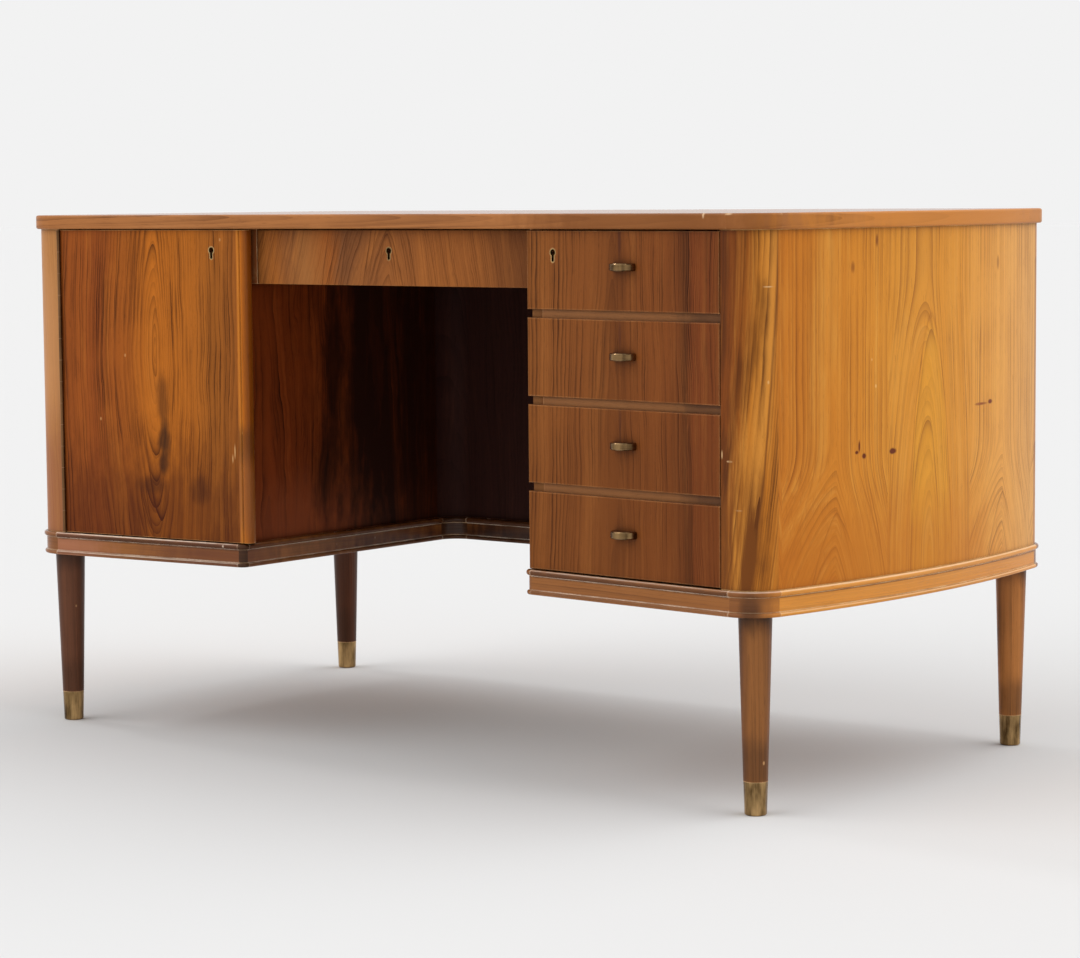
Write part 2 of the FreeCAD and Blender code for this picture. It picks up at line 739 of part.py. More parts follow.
# Top: a core panel inside a band of solid wood with softened arrises, the front hollow in the middle
BAND = [
    ("-edge_band", "0"),
    ("-edge_round", "0", "-edge_round", "edge_round", 1),
    ("0", "edge_round"),
    ("0", "top_thick - edge_round", "-edge_round", "top_thick - edge_round", 1),
    ("-edge_round", "top_thick"),
    ("-edge_band", "top_thick"),
]
lengths, corners, bows = outer_runs("band", BAND, "case_top", "0", "top_zero", "front_x")
hollow = arc_run("band_hollow", BAND, "0", "hollow_y", "case_top", "hollow_radius", "90 - toe_in",
                 "2 * toe_in", True)
group(lengths + corners + bows + [hollow], "desktop_edge_band")
core_half = [(
    "(hollow_radius + edge_band) * sin(toe_in)",
    "hollow_y + (hollow_radius + edge_band) * cos(toe_in)",
)]
core_half += outer_plan("edge_band", "top_zero + edge_band / cos(toe_in)")
core = prism("desktop_blank", both_sides(core_half, ("0", "hollow_y", -1)), "case_top", "top_thick")
node(cut(core, [drawer_mortise, centre_mortise]), "desktop")

# Drawer rails with their runners behind them, and the cheeks and strips that the centre drawer hangs on
lows = {count: f"case_top - front_gap - front_height - {count - 1} * drawer_pitch" for count in DRAWERS}
rails = []
runners = []
for count, low in lows.items():
    under = f"{low} - rail_gap - rail_lap" if count < len(DRAWERS) else "base_top"
    height = f"{low} + rail_lap - ({under})"
    if count < len(DRAWERS):
        rail = front_strip("bay_in", "post_edge", "lip_thick + rest_gap", "rail_depth")
        rails.append(prism(f"rail_{count}", rail, under, height))
    for word, near, far in (
        ("near", "bay_in", "bay_in + runner_width"),
        ("far", "bay_out - runner_width", "bay_out"),
    ):
        runner = front_to(near, far, "rail_depth", "back_inside")
        runners.append(prism(f"runner_{count}_{word}", runner, under, height))
for side, word in BOTH:
    cheek = rectangle(("cheek_x", "wall_x"), ("centre_y", "centre_end"))
    runners.append(prism(f"centre_cheek_{word}", on_side(cheek, side), "centre_low", "centre_height"))
    strip = rectangle(("centre_out - centre_groove + rest_gap", "cheek_x"),
                      ("centre_box + block_gap", "centre_end"))
    runners.append(prism(f"centre_strip_{word}", on_side(strip, side),
                         "centre_groove_top - centre_groove_height + rest_gap",
                         "centre_groove_height - rest_gap"))
group(rails, "drawer_rails")
group(runners, "drawer_runners")

# Keyholes: a thread of brass let into the front round each one


def keyhole(name, wall, depth, x, y, turn):
    """A round hole with a skirt below it, seen from the front, sunk square into the front."""
    round_radius = f"(keyhole_radius + {wall})"
    skirt = f"(keyhole_slot / 2 + {wall})"
    neck = f"-sqrt({round_radius}^2 - {skirt}^2)"
    path = [
        (skirt, neck, "0", "0", 1),
        (negate(skirt), neck),
        (negate(skirt), "-keyhole_skirt", "0", "-keyhole_skirt", 1),
        (skirt, "-keyhole_skirt"),
    ]
    body = new_body(name)
    pad(body, path, depth, "XZ_Plane", flip=True)
    place(body, x, y, "keyhole_z", turn)
    return body


def threaded(name, blank, x, y, turn):
    """A front with its keyhole cut, and the brass thread that lines the hole."""
    seat = keyhole(f"{name}_seat", "thread_wall", "thread_depth", x, y, turn)
    hole = keyhole(f"{name}_hole", "0", "front_thick + block_gap", x, y, turn)
    return cut(blank, [seat, hole]), cut(seat, [hole])


# Door: a panel with a half-round lipping, hung on a piano hinge


def door_point(x, behind="0"):
    return (negate(x), front_line(x, behind))


door_plan = [
    door_point("door_edge"),
    door_point("door_joint"),
    door_point("door_joint", "front_thick"),
    door_point("door_edge", "front_thick"),
]
nose = door_point("door_nose_x", "front_thick / 2")
lipping_plan = [
    door_point("door_joint"),
    door_point("door_nose_x + lipping_groove"),
    door_point("door_nose_x + lipping_groove / 2", "groove_sink"),
    (f"{nose[0]} + door_nose * sin(toe_in)", f"{nose[1]} - door_nose * cos(toe_in)", nose[0], nose[1], 1),
    (f"{nose[0]} - door_nose * sin(toe_in)", f"{nose[1]} + door_nose * cos(toe_in)"),
    door_point("door_joint", "front_thick"),
]
door_blank = prism("door_blank", door_plan, "door_low", "door_height")
door_panel, door_thread = threaded("door_keyhole", door_blank, "-keyhole_x", front_line("keyhole_x"),
                                   "toe_in")
node(door_panel, "door_panel")
node(door_thread, "door_escutcheon")
node(prism("door_edge_lipping", lipping_plan, "door_low", "door_height"), "door_edge_lipping")

leaves = {
    "fixed": ("-post_edge", "-post_edge + leaf_thick"),
    "door": ("-door_edge - leaf_thick", "-door_edge"),
}
pin_bore = rod("hinge_bore", "hinge_pin_radius + pin_clear", "door_height", "hinge_x", "hinge_y",
               "door_low")
for turn, (word, span) in enumerate(leaves.items()):
    pieces = [board(f"{word}_leaf", span, ("leaf_y", "leaf_y + leaf_width"),
                    ("door_low", "door_low + door_height"))]
    for count in range(turn, KNUCKLES, len(leaves)):
        low = f"door_low + {count} * knuckle_pitch + knuckle_clear / 2"
        long = "knuckle_pitch - knuckle_clear"
        pieces.append(rod(f"{word}_knuckle_{count}", "knuckle_radius", long, "hinge_x", "hinge_y", low))
        pieces.append(board(f"{word}_wrap_{count}", span,
                            ("hinge_y + knuckle_radius - leaf_thick", "leaf_y"), (low, f"{low} + {long}")))
    node(cut(join(f"{word}_leaf_and_knuckles", pieces), [pin_bore]), f"piano_hinge_{word}_leaf")
hinge_pin = rod("piano_hinge_pin", "hinge_pin_radius", "door_height", "hinge_x", "hinge_y", "door_low")
node(hinge_pin, "piano_hinge_pin")

# Drawers of the right pedestal: lipped front, sides dovetailed into it, bottom slid in under the back,
# and a half-moon pull with softened rims, dished underneath for the fingers
PULL_PROFILE = [
    ("0", "pull_dish"),
    ("pull_radius - pull_lip", "0"),
    ("pull_radius - pull_rim", "0"),
    ("pull_radius", "pull_rim"),
    ("pull_radius", "pull_thick - pull_rim"),
    ("pull_radius - pull_rim", "pull_thick"),
    ("0", "pull_thick"),
]


def toed_face(x):
    return number("front_zero") - abs(x) * math.tan(math.radians(number("toe_in")))


def centre_face(x):
    return number("centre_y")


def dovetails(name, x, thick, ends, floor, height, count):
    """Tails on the front of a drawer side that starts at x; ends are their shoulders and wider tips."""
    tails = []
    for index in range(count):
        middle = f"{2 * index + 1} * ({height}) / {2 * count}"
        low = f"{middle} - tail_width / 2"
        high = f"{middle} + tail_width / 2"
        shoulder, tip = ends
        path = [
            (shoulder, low),
            (shoulder, high),
            (tip, f"{high} + tail_flare"),
            (tip, f"{low} - tail_flare"),
        ]
        tail = new_body(f"{name}_{index + 1}")
        pad(tail, path, thick, "YZ_Plane")
        place(tail, x, z=floor)
        tails.append(tail)
    return tails


def drawer_side(name, path, floor, height, tails, grooves):
    """A side with its tails, grooved along behind them; a groove is a span across and its heights."""
    blank = join(f"{name}_tailed", [prism(name, path, floor, height)] + tails)
    reach = (path[1][1], f"{path[2][1]} + block_gap")
    return cut(blank, [board(f"{name}_groove", across, reach, up) for across, up in grooves])


for count, low in lows.items():
    name = f"drawer_{count}"
    front = new_body(f"{name}_blank")
    pad(front, front_strip("front_x", "bay_out", "0", "lip_thick"), "front_height")
    block = pad(front, front_strip("box_in", "box_out", "lip_thick", "front_thick"),
                "front_height - 2 * block_inset", lift="block_inset")
    soften(front, block, toed_face)
    place(front, z=low)
    if count == DRAWERS[0]:
        front, thread = threaded(f"{name}_keyhole", front, "keyhole_x", front_line("keyhole_x"), "-toe_in")
        node(thread, f"{name}_escutcheon")
    floor = f"{low} + rail_lap"
    bottom_span = (f"{floor} + bottom_lift", f"{floor} + bottom_lift + box_bottom")
    near_in = "box_in + box_side"
    far_in = "box_out - box_side"
    near_groove = (f"{near_in} - groove_depth", near_in)
    far_groove = (far_in, f"{far_in} + groove_depth")
    tails = {}
    for word, x in (("near", "box_in"), ("far", far_in)):
        ends = (front_line(x, "front_thick"), front_line(x, "dovetail_cover"))
        tails[word] = dovetails(f"{name}_{word}_tail", x, "box_side", ends, floor, "box_height", TAILS)
    node(cut(front, tails["near"] + tails["far"]), f"{name}_front")
    near_plan = front_to("box_in", near_in, "front_thick", "box_end")
    far_plan = front_to(far_in, "box_out", "front_thick", "box_end")
    box = [
        drawer_side(f"{name}_near_side", near_plan, floor, "box_height", tails["near"],
                    [(near_groove, bottom_span)]),
        drawer_side(f"{name}_far_side", far_plan, floor, "box_height", tails["far"],
                    [(far_groove, bottom_span)]),
        board(f"{name}_back", (near_in, far_in), ("box_end - box_side", "box_end"),
              (bottom_span[1], f"{floor} + box_height")),
    ]
    group(box, f"{name}_box")
    bottom = front_to(near_groove[0], far_groove[1], "front_thick", "box_end")
    node(prism(f"{name}_bottom", bottom, bottom_span[0], "box_bottom"), f"{name}_bottom")
    pull = turned(f"{name}_pull", PULL_PROFILE, "180")
    place(pull, "pull_x", front_line("pull_x"), f"{low} + front_height / 2 - pull_thick / 2 + pull_rise",
          "-180 - toe_in")
    node(pull, f"{name}_pull")

# Centre drawer: hangs by grooves in its sides on strips along the kneehole walls
front = new_body("centre_blank")
face = pad(front, centre_strip("-centre_half", "centre_half", "0", "front_thick"),
           "centre_height - front_gap")
soften(front, face, centre_face)
place(front, z="centre_low")
front, thread = threaded("centre_keyhole", front, "0", "centre_y", "0")
node(thread, "centre_drawer_escutcheon")
bottom_span = ("centre_floor + bottom_lift", "centre_floor + bottom_lift + box_bottom")
strip_span = ("centre_groove_top - centre_groove_height", "centre_groove_top")
side_height = "case_top - box_headroom - centre_floor"
centre_ends = ("centre_box", "centre_y + dovetail_cover")
box = []
sockets = []
for side, word in BOTH:
    hang = ("centre_out - centre_groove", "centre_out + block_gap")
    inner = ("centre_in", "centre_in + groove_depth")
    if side == LEFT:
        hang = (negate(hang[1]), negate(hang[0]))
        inner = (negate(inner[1]), negate(inner[0]))
    tail_x, socket_x = ("centre_in", "centre_in") if side == RIGHT else ("-centre_out", "-centre_half")
    tails = dovetails(f"centre_tail_{word}", tail_x, "centre_side", centre_ends, "centre_floor",
                      side_height, CENTRE_TAILS)
    sockets += dovetails(f"centre_socket_{word}", socket_x, "centre_side + box_clear", centre_ends,
                         "centre_floor", side_height, CENTRE_TAILS)
    plan_path = rectangle(("centre_in", "centre_out"), ("centre_box", "centre_end"))
    box.append(drawer_side(f"centre_side_{word}", on_side(plan_path, side), "centre_floor", side_height,
                           tails, [(hang, strip_span), (inner, bottom_span)]))
node(cut(front, sockets), "centre_drawer_front")
box.append(board("centre_back", ("-centre_in", "centre_in"), ("centre_end - box_side", "centre_end"),
                 (bottom_span[1], f"centre_floor + {side_height}")))
group(box, "centre_drawer_box")
node(board("centre_drawer_bottom", ("-centre_in - groove_depth", "centre_in + groove_depth"),
           ("centre_box", "centre_end"), bottom_span), "centre_drawer_bottom")

doc.recompute()
for piece in doc.Objects:
    if "Invalid" in piece.State or "Error" in piece.State:
        raise RuntimeError(f"{piece.Label} did not compute: {piece.State}")
os.makedirs("parts", exist_ok=True)
for piece in nodes:
    shape = piece.Shape
    if shape.isNull() or not shape.isValid():
        raise RuntimeError(f"{piece.Label} has no valid shape")
    shape.exportStep(f"parts/{piece.Label}.step")
    extent = shape.BoundBox
    spans = (extent.XMin, extent.XMax, extent.YMin, extent.YMax, extent.ZMin, extent.ZMax)
    print(piece.Label, len(shape.Solids), round(shape.Volume), [round(span, 2) for span in spans])
print(len(nodes), "pieces")
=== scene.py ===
import math

import bpy
import numpy as np
from mathutils import Matrix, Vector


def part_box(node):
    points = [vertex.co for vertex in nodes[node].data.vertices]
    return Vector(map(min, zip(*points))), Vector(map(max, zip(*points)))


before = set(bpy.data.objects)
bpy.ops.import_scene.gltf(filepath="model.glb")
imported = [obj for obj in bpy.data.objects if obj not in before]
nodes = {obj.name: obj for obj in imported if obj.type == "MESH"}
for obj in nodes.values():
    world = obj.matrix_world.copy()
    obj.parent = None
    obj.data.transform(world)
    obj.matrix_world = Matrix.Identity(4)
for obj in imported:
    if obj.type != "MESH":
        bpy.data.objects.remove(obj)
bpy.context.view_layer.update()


# The base moulding: solid beaded lengths of walnut under each pedestal and round the kneehole, with bowed
# lengths along the ends, butted against separate corner blocks and glued to the bottom boards.
# Polished once, it is rubbed pale on its two beads, in a near-white that also serves as painted highlight,
# and dark with old dirt where the lengths meet. A painted highlight runs along each bead's crest with painted
# shade below it; the bow lengths and the right corner block are set lighter, partly as painted light, and the
# lengths inside the kneehole darker as painted shade.
def tone(red, green, blue):
    """A colour as the eye reads it, 0 to 255 a channel, undone from the sRGB curve into linear light."""
    seen = np.array([red, green, blue]) / 255.0
    low = seen / 12.92
    high = ((seen + 0.055) / 1.055) ** 2.4
    return (*np.where(seen <= 0.04045, low, high).tolist(), 1.0)


def add(tree, kind, *values, **settings):
    """One shader node: settings are its options, values fill its inputs in order, None leaves one alone."""
    node = tree.nodes.new("ShaderNode" + kind)
    for option, setting in settings.items():
        setattr(node, option, setting)
    for socket, value in zip(node.inputs, values):
        if isinstance(value, bpy.types.NodeSocket):
            tree.links.new(value, socket)
        elif value is not None:
            socket.default_value = value
    return node


def calc(tree, operation, *values):
    """The number that a Math node gives for its values."""
    return add(tree, "Math", *values, operation=operation).outputs[0]


def vector(tree, operation, *values):
    """The vector that a VectorMath node gives for its values."""
    return add(tree, "VectorMath", *values, operation=operation).outputs[0]


def stretch(tree, place, across, through, along):
    """A place times a number on each axis, so that a pattern grows long on the axis of the smallest."""
    return vector(tree, "MULTIPLY", place, (across, through, along))


def noise(tree, place, seed, detail=3.0, rough=0.55):
    """Seeded smooth noise, 0 to 1, at one cell per unit of place."""
    return add(tree, "TexNoise", place, seed, 1.0, detail, rough, noise_dimensions="4D").outputs[0]


def rise(tree, value, low, high):
    """0 below low, 1 above high and a smooth step between them; the two may come in falling order."""
    node = add(tree, "MapRange", value, low, high, 0.0, 1.0, interpolation_type="SMOOTHSTEP")
    return node.outputs[0]


def effect(name, inputs, outputs):
    """An empty shader node group with the named inputs and outputs."""
    group = bpy.data.node_groups.new(name, "ShaderNodeTree")
    for label, kind in inputs.items():
        group.interface.new_socket(label, in_out="INPUT", socket_type="NodeSocket" + kind)
    for label in outputs:
        group.interface.new_socket(label, in_out="OUTPUT", socket_type="NodeSocketFloat")
    return group, group.nodes.new("NodeGroupInput").outputs, group.nodes.new("NodeGroupOutput").inputs


# Timber cut into leaves: each leaf is a slice past the heart of a tapering trunk. Distance to the heart is
# across to a power plus depth to that power, rooted, and depth grows along the grain as far as the close of
# the arches. At the power of 2 the arches are round, near 1 they come to a point. Rings have three pitches,
# each ring with a strength of its own, and fade in and out along the grain; streaks and fibre follow them.
cut_timber, given, put = effect(
    "cut_timber",
    {"Place": "Vector", "Leaf": "Float", "Pitch": "Float", "Depth": "Float", "Taper": "Float",
     "Close": "Float", "Point": "Float", "Warp": "Float", "Seed": "Float"},
    ("Rings", "Streaks", "Fibre", "Pores", "Radius"),
)


def wander(scale, share):
    """A slow drift of the place, by a share of the warp, from three seeded noises at once."""
    drift = add(cut_timber, "TexNoise", stretch(cut_timber, given["Place"], *scale), given["Seed"], 1.0, 3.0,
                0.5, noise_dimensions="4D").outputs[1]
    drift = vector(cut_timber, "SUBTRACT", drift, (0.5, 0.5, 0.5))
    drift = vector(cut_timber, "MULTIPLY", drift, (share, share, 0.0))
    return vector(cut_timber, "SCALE", drift, None, None, given["Warp"])


def ring_lines(years, sharpness, spread):
    """Dark late wood: the fraction of each year to a power, times that year's random strength to another."""
    year = calc(cut_timber, "ADD", calc(cut_timber, "FLOOR", years), given["Seed"])
    strength = add(cut_timber, "TexWhiteNoise", None, year, noise_dimensions="1D").outputs[0]
    late = calc(cut_timber, "POWER", calc(cut_timber, "FRACT", years), sharpness)
    return calc(cut_timber, "MULTIPLY", late, calc(cut_timber, "POWER", strength, spread))


place = given["Place"]
for scale, share in (((7.0, 7.0, 2.2), 1.0), ((42.0, 42.0, 12.0), 0.28)):
    place = vector(cut_timber, "ADD", place, wander(scale, share))
across, through, along = add(cut_timber, "SeparateXYZ", place).outputs
half_leaf = calc(cut_timber, "MULTIPLY", given["Leaf"], 0.5)
across = calc(cut_timber, "WRAP", across, half_leaf, calc(cut_timber, "MULTIPLY", half_leaf, -1.0))
arch_rounding = 0.05
near = calc(cut_timber, "SMOOTH_MIN", along, given["Close"], arch_rounding)
depth = calc(cut_timber, "ABSOLUTE", calc(cut_timber, "MULTIPLY_ADD", near, given["Taper"], given["Depth"]))
radius = calc(cut_timber, "ADD",
              calc(cut_timber, "POWER", calc(cut_timber, "ABSOLUTE", across), given["Point"]),
              calc(cut_timber, "POWER", depth, given["Point"]))
radius = calc(cut_timber, "POWER", radius, calc(cut_timber, "DIVIDE", 1.0, given["Point"]))
years = calc(cut_timber, "DIVIDE", radius, given["Pitch"])
skew = 0.4
skewed = calc(cut_timber, "DIVIDE", calc(cut_timber, "MULTIPLY_ADD", across, skew, radius), given["Pitch"])
lines = ring_lines(years, 3.6, 1.6)
for per_year, sharpness, spread, weight in ((1.7, 2.8, 1.0, 0.9), (3.3, 1.8, 1.2, 0.6)):
    finer = ring_lines(calc(cut_timber, "MULTIPLY", skewed, per_year), sharpness, spread)
    lines = calc(cut_timber, "MAXIMUM", lines, calc(cut_timber, "MULTIPLY", finer, weight))
in_rings = calc(cut_timber, "MULTIPLY_ADD", across, 0.5, radius)
in_rings = add(cut_timber, "CombineXYZ", in_rings, through, along).outputs[0]
fading = noise(cut_timber, stretch(cut_timber, in_rings, 24.0, 24.0, 8.0), given["Seed"], 2.0)
fading = rise(cut_timber, fading, 0.3, 0.65)
pores = noise(cut_timber, stretch(cut_timber, place, 1300.0, 1300.0, 50.0), given["Seed"], 1.0)
for label, result in (
    ("Radius", radius),
    ("Rings", calc(cut_timber, "MULTIPLY", lines, calc(cut_timber, "MULTIPLY_ADD", fading, 0.8, 0.2))),
    ("Streaks", noise(cut_timber, stretch(cut_timber, in_rings, 60.0, 60.0, 1.6), given["Seed"], 4.0, 0.68)),
    ("Fibre", noise(cut_timber, stretch(cut_timber, in_rings, 380.0, 380.0, 9.0), given["Seed"], 2.0)),
    ("Pores", rise(cut_timber, pores, 0.6, 0.72)),
):
    cut_timber.links.new(result, put[label])

# Wear along an arris: where the surface turns within the given width, in patches. Level keeps it to arrises
# that turn up or down, so that the upright butt joints of a moulding stay dark.
worn_arris, given, put = effect(
    "worn_arris", {"Place": "Vector", "Width": "Float", "Level": "Float"}, ("Wear",))
turned = add(worn_arris, "Bevel", given["Width"], samples=6).outputs[0]
facing = add(worn_arris, "NewGeometry").outputs["Normal"]
sharp = add(worn_arris, "VectorMath", turned, facing, operation="DOT_PRODUCT").outputs["Value"]
lean = add(worn_arris, "SeparateXYZ", vector(worn_arris, "SUBTRACT", turned, facing)).outputs[2]
lean = rise(worn_arris, calc(worn_arris, "ABSOLUTE", lean), 0.05, 0.2)
lean = calc(worn_arris, "MAXIMUM", lean, calc(worn_arris, "SUBTRACT", 1.0, given["Level"]))
patchy = noise(worn_arris, stretch(worn_arris, given["Place"], 26.0, 26.0, 26.0), 3.0, 4.0)
patchy = rise(worn_arris, patchy, 0.36, 0.62)
patchy = calc(worn_arris, "MULTIPLY", lean, calc(worn_arris, "MULTIPLY_ADD", patchy, 0.6, 0.4))
worn_arris.links.new(calc(worn_arris, "MULTIPLY", rise(worn_arris, sharp, 0.99, 0.84), patchy), put["Wear"])

# Grime with painted shade: old polish and dust gathered in grooves and along joints, and shade painted in the
# same places and between parts, more where less of the sky is open.
grime_and_crease_shade, given, put = effect("grime_and_crease_shade", {"Place": "Vector", "Reach": "Float"}, ("DirtAndShade",))
shut = add(grime_and_crease_shade, "AmbientOcclusion", None, given["Reach"], samples=5).outputs["AO"]
streaky = noise(grime_and_crease_shade, stretch(grime_and_crease_shade, given["Place"], 30.0, 30.0, 30.0), 9.0, 3.0)
streaky = calc(grime_and_crease_shade, "MULTIPLY_ADD", streaky, 0.8, 0.5)
grime_and_crease_shade.links.new(calc(grime_and_crease_shade, "MULTIPLY", rise(grime_and_crease_shade, shut, 0.9, 0.35), streaky), put["DirtAndShade"])

# Scuffs: in a few cells of a cell pattern, a nick about a tenth of the cell across.
scuffs, given, put = effect("scuffs", {"Place": "Vector", "Share": "Float"}, ("Nicks",))
cells = add(scuffs, "TexVoronoi", stretch(scuffs, given["Place"], 62.0, 62.0, 40.0), None, 1.0).outputs
chosen = add(scuffs, "SeparateColor", cells["Color"]).outputs[0]
chosen = calc(scuffs, "LESS_THAN", chosen, given["Share"])
scuffs.links.new(calc(scuffs, "MULTIPLY", chosen, rise(scuffs, cells["Distance"], 0.13, 0.06)), put["Nicks"])

# One mark, such as a knot or a stain: 1 at its centre, falling to 0 about its size away, with a ragged rim.
mark_on_wood, given, put = effect(
    "mark_on_wood", {"Place": "Vector", "Centre": "Vector", "Size": "Vector", "Ragged": "Float"}, ("Mark",))
reach = vector(mark_on_wood, "SUBTRACT", given["Place"], given["Centre"])
reach = vector(mark_on_wood, "DIVIDE", reach, given["Size"])
reach = add(mark_on_wood, "VectorMath", reach, operation="LENGTH").outputs["Value"]
rim = noise(mark_on_wood, stretch(mark_on_wood, given["Place"], 70.0, 70.0, 24.0), 1.0, 3.0)
reach = calc(mark_on_wood, "MULTIPLY_ADD", calc(mark_on_wood, "SUBTRACT", rim, 0.5), given["Ragged"], reach)
mark_on_wood.links.new(rise(mark_on_wood, reach, 1.25, 0.35), put["Mark"])


def placed(tree, effect_group, **values):
    """One use of an effect in a material, with its own values."""
    node = tree.nodes.new("ShaderNodeGroup")
    node.node_tree = effect_group
    for label, value in values.items():
        if isinstance(value, bpy.types.NodeSocket):
            tree.links.new(value, node.inputs[label])
        else:
            node.inputs[label].default_value = value
    return node.outputs


def mixed(tree, share, below, above, how="MIX"):
    """Two colours mixed by a share that changes over the surface."""
    return add(tree, "MixRGB", share, below, above, blend_type=how).outputs[0]


def shaded(tree, value, *stops):
    """Colours at stops between 0 and 1, blended by the value."""
    node = add(tree, "ValToRGB", value)
    band = node.color_ramp.elements
    band[0].position, band[0].color = stops[0]
    band[1].position, band[1].color = stops[-1]
    for position, colour in stops[1:-1]:
        band.new(position).color = colour
    return node.outputs[0]


def blank_material(name):
    """A new material and its node tree."""
    material = bpy.data.materials.new(name)
    material.use_nodes = True
    return material, material.node_tree


def surface(tree, colour, gloss, height, bump_strength, bump_depth):
    """Joins a colour, a roughness and a height to a material's shader, and gives the shader's inputs."""
    sockets = tree.nodes["Principled BSDF"].inputs
    bump = add(tree, "Bump", bump_strength, bump_depth)
    tree.links.new(height, bump.inputs["Height"])
    tree.links.new(colour, sockets["Base Color"])
    tree.links.new(gloss, sockets["Roughness"])
    tree.links.new(bump.outputs[0], sockets["Normal"])
    return sockets


round_slope = 0.9


def place_in_log(tree, here, lay, shift, bend):
    """The place across, through and along the grain, by the axes that lay names, bent and then shifted."""
    x, y, z = add(tree, "SeparateXYZ", here).outputs
    axes = {"x": x, "y": y, "z": z, "0": 0.0}
    if "r" in lay:
        axes["r"] = calc(tree, "MULTIPLY_ADD", y, round_slope, x)
    if bend:
        top, length, reach = bend
        sunk = calc(tree, "MULTIPLY_ADD", axes[lay[2]], -1.0 / length, top / length)
        sunk = calc(tree, "POWER", calc(tree, "MAXIMUM", sunk, 0.0), 1.6)
        axes[lay[0]] = calc(tree, "MULTIPLY_ADD", sunk, reach, axes[lay[0]])
    in_log = add(tree, "CombineXYZ", *(axes[letter] for letter in lay)).outputs[0]
    return add(tree, "Mapping", in_log, shift).outputs[0]


